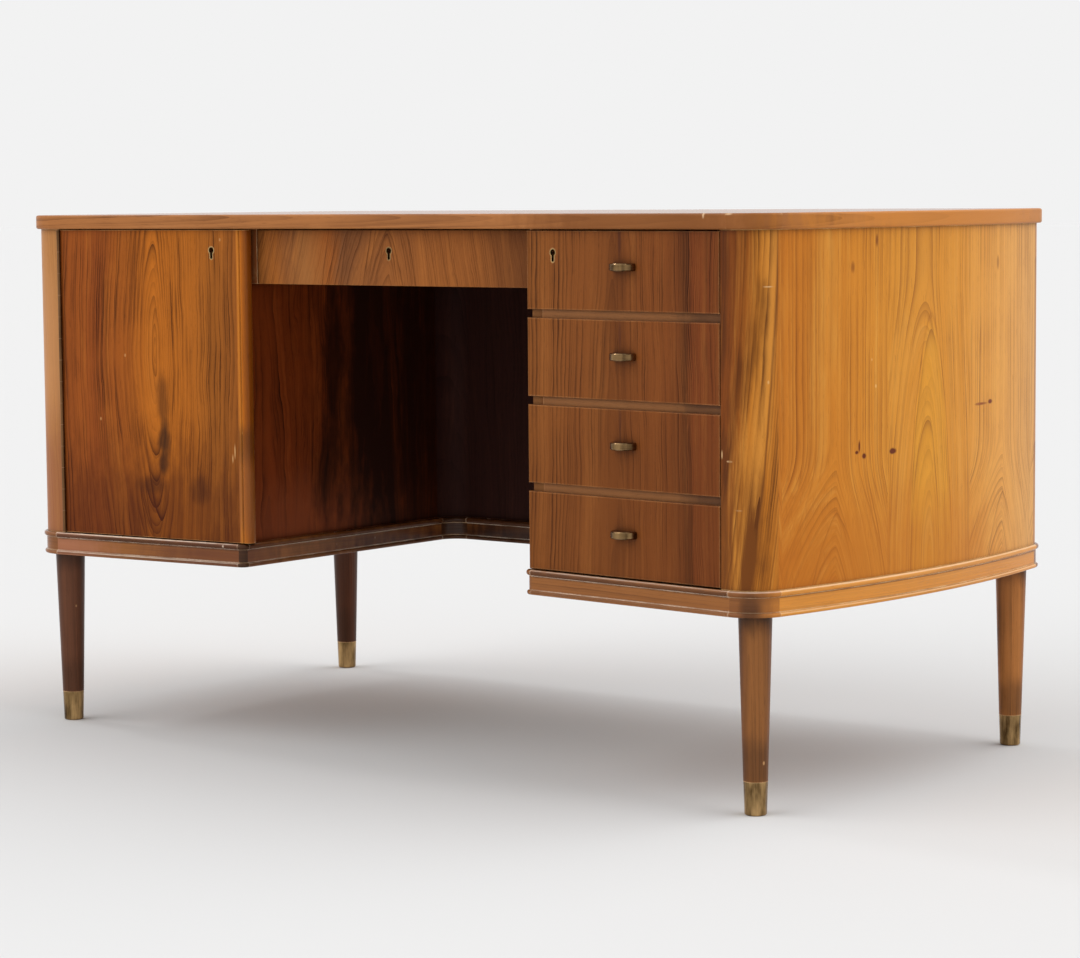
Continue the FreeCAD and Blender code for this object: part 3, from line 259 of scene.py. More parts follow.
def timber(name, dark, middle, light, worn, lay="xyz", shift=(0, 0, 0), leaf=0.2, pitch=0.005, depth=0.07,
           taper=0.05, close=1.0, point=1.7, warp=0.02, seed=0.0, streak=1.3, ring=0.8, arris=0.0022,
           level=0.0, nicks=0.02, sheen=0.4, coat=0.05, coat_rough=0.25, mirror=0.12, dust_and_shade=0.6, bands=(),
           stray=0.15, bend=None, heart=None, soak=1.6, marks=()):
    """Polished wood. lay names the axes across, through and along the grain: r is the way round the desk,
    0 is none. Streaks and fibre choose between dark, middle and light, and rings darken; bands give the
    middle colour at places across the leaf instead, strayed by the streaks. depth, taper, close and point
    may be lists of leaves, each a start across and a change from there on. bend moves the figure across by
    a reach times (top less along, over a length) to 1.6. heart is a radius inside which the wood is of
    another hue, behind a dark line, and its share of each leaf. Pores darken; marks soak in more where
    streaks are dark, by soak, and darkening in creases, as old soiling and as painted shade, wear and
    nicks go on top."""
    material, tree = blank_material(name)
    here = add(tree, "TexCoord").outputs["Object"]
    in_log = place_in_log(tree, here, lay, shift, bend)
    across_leaves = add(tree, "SeparateXYZ", in_log).outputs[0]

    def by_leaf(steps):
        """A number, or the sum of the changes whose starts lie below this place across the leaves."""
        if not isinstance(steps, tuple):
            return steps
        total = steps[0][1]
        for start, change in steps[1:]:
            past = calc(tree, "GREATER_THAN", across_leaves, start)
            total = calc(tree, "ADD", total, calc(tree, "MULTIPLY", past, change))
        return total

    grain = placed(tree, cut_timber, Place=in_log, Leaf=leaf, Pitch=pitch, Depth=by_leaf(depth),
                   Taper=by_leaf(taper), Close=by_leaf(close), Point=by_leaf(point), Warp=warp, Seed=seed)
    usual_value, fibre_share = 0.66, 0.3
    value = calc(tree, "MULTIPLY_ADD", grain["Streaks"], streak, usual_value - streak / 2)
    value = calc(tree, "SUBTRACT", value, fibre_share / 2)
    value = calc(tree, "MULTIPLY_ADD", grain["Fibre"], fibre_share, value)
    if bands:
        low, high = bands[0][0], bands[-1][0]
        wide = add(tree, "MapRange", across_leaves, low, high).outputs[0]
        wide = calc(tree, "MULTIPLY_ADD", calc(tree, "SUBTRACT", grain["Streaks"], 0.5), stray, wide)
        body = shaded(tree, wide, *(((at - low) / (high - low), tone(*hue)) for at, hue in bands))
    else:
        body = tone(*middle)
    if heart:
        radius, hue, share = heart
        heart_blend, line_width, line_core, line_dark = 0.004, 0.0016, 0.0002, -0.35
        share = by_leaf(share)
        inside = rise(tree, grain["Radius"], radius, radius - heart_blend)
        body = mixed(tree, calc(tree, "MULTIPLY", inside, share), body, tone(*hue))
        edge = calc(tree, "ABSOLUTE", calc(tree, "SUBTRACT", grain["Radius"], radius))
        edge = calc(tree, "MULTIPLY", rise(tree, edge, line_width, line_core), share)
        value = calc(tree, "MULTIPLY_ADD", edge, line_dark, value)
    darkest, body_value, lightest = -0.1, 0.6, 1.3
    colour = mixed(tree, rise(tree, value, darkest, body_value), tone(*dark), body)
    colour = mixed(tree, rise(tree, value, body_value, lightest), colour, tone(*light))
    colour = mixed(tree, calc(tree, "MULTIPLY", grain["Rings"], ring), colour, tone(*dark))
    colour = mixed(tree, calc(tree, "MULTIPLY", grain["Pores"], 0.3), colour, tone(*dark), "MULTIPLY")
    soaked = calc(tree, "MULTIPLY_ADD", grain["Streaks"], -soak, 1.0 + soak / 2)
    for centre, size, hue, amount in marks:
        mark = placed(tree, mark_on_wood, Place=here, Centre=centre, Size=size, Ragged=0.9)["Mark"]
        mark = calc(tree, "MULTIPLY", mark, calc(tree, "MULTIPLY", soaked, amount))
        colour = mixed(tree, mark, colour, tone(*hue))
    # Painted shade with old soiling: darker in creases, grooves and between parts, where less of the sky is
    # open.
    dirt_and_shade = placed(tree, grime_and_crease_shade, Place=here, Reach=0.012)["DirtAndShade"]
    colour = mixed(tree, calc(tree, "MULTIPLY", dirt_and_shade, dust_and_shade), colour, tone(*(0.25 * part for part in dark)))
    wear = placed(tree, worn_arris, Place=here, Width=arris, Level=level)["Wear"]
    colour = mixed(tree, wear, colour, tone(*worn))
    nick = placed(tree, scuffs, Place=here, Share=nicks)["Nicks"]
    colour = mixed(tree, calc(tree, "MULTIPLY", nick, 0.6), colour, tone(*worn))
    sheen_swing = 0.16
    gloss = calc(tree, "MULTIPLY_ADD", grain["Streaks"], -sheen_swing, sheen + sheen_swing / 2)
    gloss = calc(tree, "MULTIPLY_ADD", nick, 0.2, calc(tree, "MULTIPLY_ADD", grain["Pores"], 0.1, gloss))
    height = calc(tree, "MULTIPLY_ADD", grain["Pores"], -0.7, calc(tree, "MULTIPLY", grain["Fibre"], 0.4))
    height = calc(tree, "SUBTRACT", height, calc(tree, "MULTIPLY", nick, 1.5))
    sockets = surface(tree, colour, gloss, height, bump_strength=0.25, bump_depth=0.0002)
    sockets["Specular IOR Level"].default_value = mirror
    sockets["Coat Weight"].default_value = coat
    sockets["Coat Roughness"].default_value = coat_rough
    return material


def dress(material, *names):
    """Gives the named pieces of the desk their finish."""
    for name in names:
        for slot in nodes[name].material_slots:
            slot.material = material


joint_dirt = (50, 29, 17)
# Painted shade on the beads below their crests, and a painted highlight along the crests.
bead_shade = (74, 40, 20)
bead_highlight = (248, 226, 204)
beaded = dict(lay="z0r", leaf=0.11, pitch=0.006, taper=0.01, warp=0.012, streak=1.2, ring=0.6, level=1.0,
              nicks=0.05, coat_rough=0.12)
dress(
    # The near-white worn colour doubles as painted highlight along the bead arrises.
    timber("moulding_wood", (74, 38, 16), (156, 98, 50), (190, 126, 68), (248, 222, 196), seed=1.0,
           arris=0.0035, sheen=0.24, coat=0.12, mirror=0.1, dust_and_shade=0.95, **beaded,
           marks=(((-0.29, -0.33, 0.265), (0.15, 0.1, 0.2), (112, 64, 40), 0.75),
                  ((-0.59, -0.30, 0.265), (0.10, 0.1, 0.2), (178, 116, 86), 0.7),
                  # Painted shade on the lengths inside the kneehole.
                  ((-0.2, 0.0, 0.27), (0.1, 0.26, 0.1), (72, 36, 18), 0.85),
                  ((0.0, 0.15, 0.27), (0.3, 0.06, 0.1), (50, 27, 16), 0.85),
                  # Painted shade below each bead's crest, then painted highlights along the crests.
                  ((0.0, 0.0, 0.2795), (9.0, 9.0, 0.0045), bead_shade, 0.75),
                  ((0.0, 0.0, 0.2555), (9.0, 9.0, 0.0020), bead_shade, 0.45),
                  ((-0.45, -0.33, 0.2842), (0.26, 0.08, 0.0009), bead_highlight, 0.7),
                  ((-0.45, -0.33, 0.2570), (0.26, 0.08, 0.0007), bead_highlight, 0.5),
                  ((0.42, -0.33, 0.2842), (0.26, 0.08, 0.0008), bead_highlight, 0.4))),
    "base_straight_mouldings",
)
dress(
    # Set lighter than the straight lengths, partly as painted light; the near-white worn colour doubles as
    # painted highlight.
    timber("bow_moulding_wood", (110, 62, 22), (218, 142, 54), (238, 172, 84), (252, 220, 164), seed=3.0,
           arris=0.003, sheen=0.26, coat=0.1, mirror=0.15, dust_and_shade=0.8, **beaded,
           # Painted shade below the upper bead, then painted highlights along both beads.
           marks=(((0.0, 0.0, 0.2765), (9.0, 9.0, 0.0015), (120, 66, 26), 0.7),
                  ((0.0, 0.0, 0.2840), (9.0, 9.0, 0.0011), (252, 226, 180), 0.55),
                  ((0.0, 0.0, 0.2565), (9.0, 9.0, 0.0008), (252, 226, 180), 0.35))),
    "base_bow_mouldings",
)
dress(
    timber("moulding_corner_wood", (60, 33, 16), (140, 86, 44), (176, 114, 60), (232, 190, 146), seed=4.0,
           arris=0.003, sheen=0.24, coat=0.1, mirror=0.15, dust_and_shade=0.9, **beaded,
           # Painted light on the right corner block, then the block's dark joint.
           marks=(((0.675, -0.31, 0.268), (0.04, 0.045, 0.2), (194, 122, 46), 0.95),
                  ((0.630, -0.346, 0.264), (0.016, 0.022, 0.02), (76, 44, 22), 0.7),
                  # The dark nose block, painted shade in the kneehole's back corner and a painted highlight
                  # along the crest.
                  ((-0.255, -0.312, 0.268), (0.02, 0.03, 0.05), joint_dirt, 0.85),
                  ((-0.25, 0.14, 0.268), (0.06, 0.06, 0.06), (50, 30, 20), 0.85),
                  ((0.65, -0.33, 0.2841), (0.09, 0.09, 0.0010), bead_highlight, 0.4))),
    "base_corner_blocks",
)


# The bottom boards: thinly polished panels inside the base moulding that carry each pedestal and take the
# legs. They are seen from below, through the open cupboard and as the floor of the bookcase.
dress(
    timber("bottom_board_wood", (92, 56, 28), (150, 100, 56), (176, 126, 76), (194, 150, 104), lay="yzx",
           leaf=0.14, pitch=0.008, taper=0.04, seed=7.0, sheen=0.6, coat=0.0),
    "bottom_boards",
)


# The legs: turned and tapered solid walnut, stained to the case, each with a spigot in a socket of the bottom
# boards. Grain runs down the leg. Each is painted lighter down its middle and darker at both flanks as
# painted light and shade, the left legs are set darker as painted shade and the back right one lighter as
# painted light, and each is painted dark at the top as painted shadow under the base and darker at the foot.
darker_leg_ends = (58, 36, 22)
for leg_name, lit_middle, shaded_flanks, seed in (
    # Per leg: the left legs are set darker as painted shade and the back right one lighter as painted light.
    ("leg_front_right", (148, 94, 48), (104, 62, 34), 11.0),
    ("leg_back_right", (184, 118, 60), (134, 82, 42), 17.0),
    ("leg_front_left", (108, 66, 44), (72, 42, 28), 13.0),
    ("leg_back_left", (86, 50, 32), (62, 36, 24), 15.0),
):
    axis_x, axis_y, _ = np.mean(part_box(leg_name), axis=0)
    round_leg = -(axis_x + round_slope * axis_y)
    dress(
        timber(leg_name + "_wood", tuple(0.45 * part for part in shaded_flanks), lit_middle,
               tuple(1.2 * part for part in lit_middle), (214, 164, 110), lay="rxz", shift=(round_leg, 0, 0),
               leaf=0.09, pitch=0.004, depth=0.05, taper=0.004, warp=0.012, seed=seed, streak=1.8, ring=0.9,
               nicks=0.22, sheen=0.3, coat=0.08,
               # Painted light down the middle and painted shade at both flanks.
               bands=((-0.030, shaded_flanks), (-0.012, lit_middle), (0.010, lit_middle), (0.030, shaded_flanks)),
               # Painted shadow at the top under the base, and a darker foot above the sabot.
               marks=(((axis_x, axis_y, 0.262), (0.08, 0.08, 0.034), darker_leg_ends, 0.7),
                      ((axis_x, axis_y, 0.065), (0.08, 0.08, 0.035), darker_leg_ends, 0.45))),
        leg_name,
    )


# The sabots: drawn brass cups pushed on over the foot of each leg, with a rolled rim at the bottom.
# They are tarnished brown, rubbed bright on the rims and scratched lengthways; the bright and dark runs of
# tarnish also stand in for painted reflections on the curve.
def brass(name, bright, tarnished, seed, rough=0.34, runs=(110.0, 110.0, 9.0), scratch=(900.0, 900.0, 12.0)):
    """Aged metal: a tarnish from two noises, in runs and in fine scratches, bright again along worn rims.
    The tarnish also stands in for painted reflection streaks on the curved metal.
    """
    material, tree = blank_material(name)
    here = add(tree, "TexCoord").outputs["Object"]
    tarnish_and_reflection = noise(tree, stretch(tree, here, *runs), seed, 3.0, 0.5)
    line = noise(tree, stretch(tree, here, *scratch), seed + 1.0, 2.0)
    rim_width, rim_gain, scratch_share = 0.0016, 45, 0.3
    wear = placed(tree, worn_arris, Place=here, Width=rim_width, Level=0.0)["Wear"]
    clean = calc(tree, "SUBTRACT", tarnish_and_reflection, scratch_share / 2)
    clean = calc(tree, "MULTIPLY_ADD", line, scratch_share, clean)
    colour = shaded(tree, clean, (0.34, tone(*tarnished)), (0.66, tone(*bright)))
    rubbed_bright = tone(*(min(255, part + rim_gain) for part in bright))
    colour = mixed(tree, calc(tree, "MULTIPLY", wear, 0.8), colour, rubbed_bright)
    gloss = calc(tree, "MULTIPLY_ADD", clean, -0.3, rough + 0.2)
    height = calc(tree, "ADD", line, tarnish_and_reflection)
    sockets = surface(tree, colour, gloss, height, bump_strength=0.2, bump_depth=0.0001)
    sockets["Metallic"].default_value = 1.0
    return material


dress(
    brass("sabot_brass", (198, 162, 110), (82, 60, 34), 2.0, rough=0.16, runs=(85.0, 85.0, 22.0)),
    "leg_sabots",
)


# The bowed end panels: thick cores bent to the bow and faced with honey-coloured veneer in leaves 200 mm
# wide, each with one tall arch of figure, and a few small red-brown knots. Their honey colour is set well
# lighter than the fronts, partly as painted light from the lamp on the right. The right one has faded, and
# grows paler towards the back as a painted sheen.
knot = (104, 44, 16)
end_knots = (
    ((0.6723, -0.1751, 0.6808), (0.05, 0.0045, 0.008), (122, 62, 20), 0.6),
    ((0.6773, -0.1270, 0.7138), (0.05, 0.003, 0.009), knot, 0.8),
    ((0.6735, -0.1625, 0.4540), (0.05, 0.0022, 0.009), knot, 1.4),
    ((0.6735, -0.1670, 0.4470), (0.05, 0.004, 0.0028), knot, 1.4),
    ((0.6748, -0.1530, 0.4416), (0.05, 0.0045, 0.004), knot, 1.5),
    ((0.6801, -0.0924, 0.4440), (0.05, 0.0075, 0.004), knot, 1.7),
    ((0.6802, 0.1270, 0.4920), (0.05, 0.018, 0.0022), (140, 70, 30), 1.0),
    ((0.6802, 0.1560, 0.4935), (0.05, 0.007, 0.0032), (120, 54, 24), 1.2),
    ((0.6765, 0.1777, 0.6793), (0.05, 0.004, 0.010), (140, 80, 34), 0.6),
)
dress(
    timber("right_end_veneer", (126, 64, 14), (206, 136, 44), (230, 166, 74), (238, 194, 128), lay="yxz",
           shift=(0.004, 0, -0.29), pitch=0.010, depth=((-0.35, 0.01), (-0.1, -0.01), (0.1, 0.01)),
           taper=((-0.35, 0.476), (-0.1, -0.313), (0.1, 0.337)),
           close=((-0.35, 0.135), (-0.1, 0.225), (0.1, -0.23)),
           point=((-0.35, 1.25), (-0.1, 0.45), (0.1, -0.45)), warp=0.016, seed=21.0, streak=1.5, ring=1.2,
           level=1.0, sheen=0.36, mirror=0.08,
           heart=(0.053, (220, 150, 44), ((-0.35, 0.0), (-0.1, 0.9), (0.1, -0.9))),
           # Painted sheen: the bands grow paler towards the back of the bow.
           bands=((-0.31, (194, 115, 33)), (-0.2, (205, 127, 37)), (-0.08, (215, 142, 46)),
                  (0.06, (215, 142, 46)), (0.2, (226, 159, 75)), (0.35, (220, 166, 100))),
           marks=(((0.68, -0.1, 0.28), (0.2, 0.32, 0.12), (182, 102, 24), 0.5),) + end_knots),
    "right_end_panel",
)
dress(
    timber("left_end_veneer", (124, 66, 20), (196, 126, 44), (226, 164, 80), (234, 188, 122), lay="yxz",
           shift=(0, 0, -0.29), pitch=0.010, depth=((-0.35, 0.0), (-0.1, 0.01), (0.1, -0.01)),
           taper=((-0.35, 0.17), (-0.1, 0.25), (0.1, -0.27)),
           close=((-0.35, 0.3), (-0.1, -0.15), (0.1, 0.18)), point=((-0.35, 1.7), (-0.1, -0.4), (0.1, 0.4)),
           warp=0.016, seed=25.0, ring=1.15, level=1.0, sheen=0.36),
    "left_end_panel",
)


# The front corner posts: solid quarter rounds between the bowed ends and the fronts, veneered over. On the
# right one the figure sweeps down across the curve, gold beside one dark line and browner to the drawers.
bruise = (232, 190, 138)
flames = ((0.640, 0.64), (0.632, 0.59), (0.619, 0.54), (0.606, 0.49), (0.596, 0.44), (0.594, 0.69),
          (0.590, 0.60))
dress(
    timber("right_post_veneer", (84, 42, 14), (160, 96, 34), (218, 150, 66), (232, 186, 122), lay="rxz",
           shift=(-0.372, 0, 0), bend=(0.726, 0.402, 0.044), leaf=0.6, pitch=0.013, depth=0.012, taper=0.01,
           warp=0.022, seed=31.0, streak=1.8, ring=2.0, level=1.0, nicks=0.07, coat=0.03, mirror=0.08,
           stray=0.08, soak=6.0,
           bands=((-0.095, (118, 58, 17)), (-0.066, (138, 73, 24)), (-0.046, (162, 92, 30)),
                  (-0.032, (199, 124, 43)), (-0.010, (220, 146, 60)), (-0.004, (214, 139, 54)),
                  (0.0, (126, 73, 28)), (0.004, (197, 120, 39)), (0.06, (190, 116, 36))),
           marks=(((0.610, -0.345, 0.33), (0.042, 0.05, 0.13), (118, 66, 24), 0.75),
                  *(((flame_x, -0.345, flame_z), (0.010, 0.03, 0.050), (84, 42, 14), 0.52)
                    for flame_x, flame_z in flames),
                  ((0.5899, -0.3446, 0.4527), (0.0012, 0.02, 0.006), bruise, 0.6),
                  ((0.6020, -0.3459, 0.4450), (0.005, 0.02, 0.0014), bruise, 0.7),
                  ((0.6153, -0.3470, 0.3848), (0.005, 0.02, 0.0010), bruise, 0.5),
                  ((0.6450, -0.33, 0.6600), (0.004, 0.03, 0.0010), bruise, 0.5))),
    "right_front_post",
)
dress(
    timber("left_post_veneer", (124, 76, 40), (188, 128, 72), (214, 156, 96), (228, 182, 126), lay="rxz",
           leaf=0.16, pitch=0.006, depth=0.05, taper=0.03, seed=34.0, streak=1.2, ring=1.0, level=1.0,
           nicks=0.03,
           marks=(((-0.62, -0.33, 0.31), (0.12, 0.1, 0.18), (150, 88, 58), 0.6),
                  ((-0.62, -0.33, 0.55), (0.12, 0.1, 0.12), (206, 146, 96), 0.4))),
    "left_front_post", "back_corner_posts",
)


# The pedestal backs: flat veneered panels between the back posts and the inner sides, glued at their edges.
# The desk stands free in a room, so they are polished like the front.
dress(
    timber("back_veneer", (112, 62, 28), (168, 106, 48), (196, 134, 68), (214, 164, 104), leaf=0.18,
           pitch=0.006, depth=0.05, seed=41.0),
    "pedestal_backs",
)


# The linings: pale boards beside the drawers and the cupboard that make the curved carcass square inside,
# left unpolished. Small brass pins in the cupboard's sides carry its loose shelf.
dress(
    timber("lining_wood", (146, 108, 66), (194, 154, 104), (214, 178, 128), (222, 190, 146), lay="yxz",
           leaf=0.12, pitch=0.008, depth=0.05, taper=0.04, seed=44.0, ring=0.7, sheen=0.55, coat=0.0),
    "pedestal_linings",
)
dress(brass("pin_brass", (176, 148, 100), (104, 82, 52), 5.0), "shelf_pins")


# The locks: small steel cases fixed behind the fronts of the top drawer, the centre drawer and the door, each
# with a square bolt that the key throws. Dull zinc-grey with brown bloom.
dress(
    brass("lock_steel", (158, 158, 154), (96, 90, 82), 8.0, rough=0.4, scratch=(60.0, 900.0, 60.0)),
    "drawer_1_lock_case", "drawer_1_lock_bolt", "centre_drawer_lock_case", "centre_drawer_lock_bolt",
    "door_lock_case", "door_lock_bolt",
)


# The kneehole: two side walls, a panel across the back and coved inner corners, veneered in dark red-brown
# leaves with wild dark figure, hardly faded. They are set far darker than the rest of the desk as painted
# shade for the deep recess, darker still towards the back, and the left wall is painted lighter at its foot
# as painted light thrown up from the floor.
rail_hue = (142, 92, 50)
dress(
    timber("shaded_knee_side_veneer", (26, 9, 4), (122, 53, 18), (160, 80, 33), (140, 84, 48), lay="yxz",
           leaf=0.24, pitch=0.012, depth=0.03, taper=0.02, warp=0.07, seed=51.0, streak=1.8, ring=1.3,
           level=1.0, sheen=0.5, coat=0.0, mirror=0.08,
           marks=(((0.0, 0.30, 0.5), (0.6, 0.13, 0.6), (126, 72, 34), 0.9),
                  ((0.273, -0.31, 0.5), (0.04, 0.012, 0.8), rail_hue, 1.0),
                  # Painted light at the foot of the left wall, thrown up from the floor.
                  ((-0.264, -0.12, 0.30), (0.02, 0.2, 0.08), (136, 68, 36), 0.6),
                  ((-0.264, -0.11, 0.53), (0.02, 0.02, 0.16), (24, 9, 4), 0.75),
                  ((-0.264, -0.13, 0.37), (0.02, 0.032, 0.08), (24, 9, 4), 0.7),
                  # Painted shade deeper in the kneehole.
                  ((-0.264, 0.01, 0.55), (0.02, 0.17, 0.5), (40, 18, 10), 0.9),
                  ((-0.264, 0.10, 0.5), (0.02, 0.08, 0.5), (40, 16, 8), 0.7))),
    "right_inner_side", "left_inner_side",
)
dress(
    timber("shaded_knee_panel_veneer", (16, 9, 8), (52, 29, 25), (74, 42, 32), (90, 54, 36), leaf=0.24,
           pitch=0.012, depth=0.05, taper=0.06, warp=0.06, seed=54.0, streak=1.4, ring=0.6, level=1.0,
           sheen=0.6, coat=0.0, mirror=0.05),
    "knee_panel", "knee_corner_coves",
)


# The two shelves: a bookcase shelf in the open back and a loose one in the cupboard on its pins, both boards
# of polished wood with the grain along the desk.
dress(
    timber("shelf_wood", (112, 66, 32), (164, 106, 54), (190, 134, 76), (212, 166, 110), lay="yzx",
           leaf=0.16, pitch=0.006, depth=0.06, taper=0.04, seed=57.0, sheen=0.45),
    "bookcase_shelf", "cabinet_shelf",
)


# The top: a veneered panel with the grain running along the desk, inside a solid band in butted lengths.
# The band is rubbed along both arrises and chipped pale near the right front corner. It is darker along the
# front towards the right, and its end over the right bow is painted lighter as painted light.
dress(
    timber("top_veneer", (78, 40, 16), (150, 90, 38), (178, 114, 54), (206, 154, 100), lay="yzx", leaf=0.24,
           pitch=0.012, depth=0.03, warp=0.035, seed=61.0, streak=1.5, ring=1.3, nicks=0.03, sheen=0.28,
           coat=0.55, coat_rough=0.2, mirror=0.4),
    "desktop",
)
chip = (226, 188, 146)
dress(
    timber("edge_band_wood", (88, 46, 18), (176, 113, 62), (202, 140, 84), (222, 172, 116), lay="z0r",
           leaf=0.05, pitch=0.006, depth=0.02, taper=0.012, warp=0.012, seed=64.0, ring=1.4, arris=0.003,
           level=1.0, nicks=0.04, mirror=0.1,
           marks=(((0.47, -0.35, 0.74), (0.24, 0.2, 0.1), (130, 76, 34), 0.85),
                  # Painted light on the band's end over the right bow.
                  ((0.71, 0.05, 0.74), (0.10, 0.45, 0.1), (206, 130, 50), 0.9),
                  ((0.566, -0.349, 0.748), (0.002, 0.02, 0.005), chip, 0.8),
                  ((0.606, -0.352, 0.749), (0.006, 0.01, 0.0015), chip, 0.7),
                  ((0.660, -0.318, 0.749), (0.004, 0.010, 0.002), chip, 0.8))),
    "desktop_edge_band",
)


# The drawer rails and runners: rails across the front of the right pedestal, set back behind the lips of the
# drawers, and hardwood runners behind them. The cheeks beside the centre drawer are painted darker in front
# as painted shade in the gaps beside it.
dress(
    timber("rail_wood", (92, 54, 28), (164, 106, 58), (188, 128, 74), (204, 150, 96), lay="zyx", leaf=0.06,
           pitch=0.003, depth=0.04, taper=0.006, warp=0.008, seed=71.0, streak=1.0, ring=0.4,
           marks=(((0.572, -0.33, 0.50), (0.06, 0.08, 0.4), (84, 50, 30), 0.6),)),
    "drawer_rails",
)
dress(
    timber("runner_wood", (150, 110, 66), (196, 154, 102), (214, 176, 124), (222, 188, 142), lay="zxy",
           leaf=0.08, pitch=0.003, depth=0.05, taper=0.01, seed=74.0, ring=0.4, sheen=0.55, coat=0.0,
           dust_and_shade=0.3,
           # Painted shade on the fronts of the cheeks beside the centre drawer.
           marks=(((-0.255, -0.29, 0.69), (0.03, 0.02, 0.3), (150, 84, 44), 1.0),
                  ((0.255, -0.29, 0.69), (0.03, 0.02, 0.3), (150, 84, 44), 1.0))),
    "drawer_runners",
)


# The cupboard door: a flat core in one wide leaf of flame veneer, gold in the middle and darker at its edges
# and foot, with an old ink smudge below the middle. A half-round lipping with a groove beside its nose is
# glued along the free edge, painted with a highlight down its left side and shade towards its right edge as
# painted light and shade on the round, and a piano hinge tarnished like bronze runs down the other.
dress(
    timber("door_veneer", (58, 22, 6), (152, 82, 28), (200, 118, 44), (206, 150, 92),
           shift=(0.405, 0, -0.58), leaf=0.5, pitch=0.008, depth=0.003, taper=0.13, warp=0.035, seed=81.0,
           streak=1.6, ring=1.7, level=1.0, nicks=0.05, sheen=0.33, coat=0.02, mirror=0.06,
           bands=((-0.19, (145, 74, 28)), (-0.15, (161, 84, 30)), (-0.12, (149, 75, 28)),
                  (-0.06, (168, 91, 30)), (-0.01, (193, 109, 32)), (0.05, (185, 105, 32)),
                  (0.10, (164, 95, 33)), (0.15, (148, 84, 32))),
           marks=(((-0.43, -0.33, 0.28), (0.30, 0.1, 0.16), (84, 36, 14), 0.65),
                  ((-0.400, -0.33, 0.485), (0.011, 0.1, 0.045), (88, 48, 20), 0.65),
                  ((-0.397, -0.33, 0.428), (0.013, 0.1, 0.030), (62, 36, 20), 0.85),
                  ((-0.399, -0.33, 0.395), (0.011, 0.1, 0.018), (64, 36, 20), 0.75),
                  ((-0.422, -0.33, 0.362), (0.030, 0.1, 0.014), (70, 34, 16), 0.5),
                  ((-0.334, -0.32, 0.359), (0.020, 0.1, 0.022), (74, 36, 16), 0.55),
                  ((-0.2695, -0.314, 0.4158), (0.0012, 0.05, 0.011), (214, 164, 108), 0.9),
                  ((-0.2735, -0.314, 0.4060), (0.0012, 0.05, 0.007), (214, 164, 108), 0.7))),
    "door_panel",
)
dress(
    timber("lipping_wood", (96, 48, 10), (180, 98, 22), (220, 138, 48), (224, 168, 98),
           shift=(0.2545, 0, 0), leaf=0.06, pitch=0.004, depth=0.03, taper=0.01, warp=0.004, seed=84.0,
           streak=1.1, ring=0.5, level=1.0, nicks=0.04, sheen=0.28, stray=0.05,
           # Painted highlight and painted shade across the half-round nose.
           bands=((-0.0085, (156, 84, 20)), (-0.004, (220, 136, 44)), (0.001, (182, 100, 22)),
                  (0.0085, (132, 68, 16))),
           marks=(((-0.25, -0.31, 0.425), (0.06, 0.06, 0.03), (84, 48, 22), 0.5),
                  ((-0.25, -0.31, 0.35), (0.06, 0.06, 0.07), (146, 88, 46), 0.6))),
    "door_edge_lipping",
)
dress(
    brass("hinge_bronze", (120, 86, 56), (58, 42, 28), 12.0, rough=0.4),
    "piano_hinge_fixed_leaf", "piano_hinge_door_leaf", "piano_hinge_pin",
)
dress(
    brass("escutcheon_brass", (172, 140, 88), (104, 80, 46), 14.0, rough=0.3),
    "door_escutcheon", "drawer_1_escutcheon", "centre_drawer_escutcheon",
)


# The drawers of the right pedestal: lipped fronts cut in order from one run of veneer, so the figure goes on
# from each to the next, dovetailed to boxes of pale wood with thin bottoms in grooves.
drawers = [f"drawer_{count}" for count in (1, 2, 3, 4)]
drips = tuple(((0.4215, -0.33, drip), (0.003, 0.1, 0.028), (66, 34, 26), 0.5)
              for drip in (0.716, 0.598, 0.485))
dress(
    timber("front_veneer", (56, 25, 8), (128, 74, 32), (166, 102, 48), (206, 152, 100), shift=(-0.42, 0, 0),
           leaf=0.4, pitch=0.007, depth=0.02, taper=0.02, warp=0.034, seed=91.0, streak=1.2, ring=1.5,
           arris=0.003, sheen=0.36, coat=0.02, mirror=0.06,
           bands=((-0.165, (139, 81, 34)), (-0.08, (137, 78, 34)), (-0.03, (131, 74, 32)),
                  (0.0, (118, 65, 28)), (0.03, (133, 74, 32)), (0.08, (129, 70, 30)),
                  (0.108, (109, 57, 25)), (0.116, (81, 40, 17)), (0.124, (125, 63, 28)),
                  (0.17, (122, 64, 28))),
           marks=(((0.42, -0.33, 0.34), (0.3, 0.1, 0.2), (108, 58, 22), 0.35),) + drips),
    *(drawer + "_front" for drawer in drawers),
)
dress(
    timber("drawer_wood", (152, 112, 68), (202, 162, 110), (220, 184, 134), (228, 198, 154), lay="zxy",
           leaf=0.1, pitch=0.007, depth=0.04, taper=0.03, seed=94.0, ring=0.7, sheen=0.52, coat=0.0),
    *(drawer + "_box" for drawer in drawers), "centre_drawer_box",
)
dress(
    timber("drawer_bottom_wood", (170, 130, 84), (212, 174, 122), (226, 194, 146), (230, 202, 158),
           lay="yzx", leaf=0.16, pitch=0.010, depth=0.04, taper=0.06, seed=97.0, ring=0.7, sheen=0.5,
           coat=0.0),
    *(drawer + "_bottom" for drawer in drawers), "centre_drawer_bottom",
)
dress(
    brass("pull_brass", (146, 116, 78), (80, 60, 38), 16.0, rough=0.16, scratch=(40.0, 40.0, 900.0)),
    *(drawer + "_pull" for drawer in drawers),
)


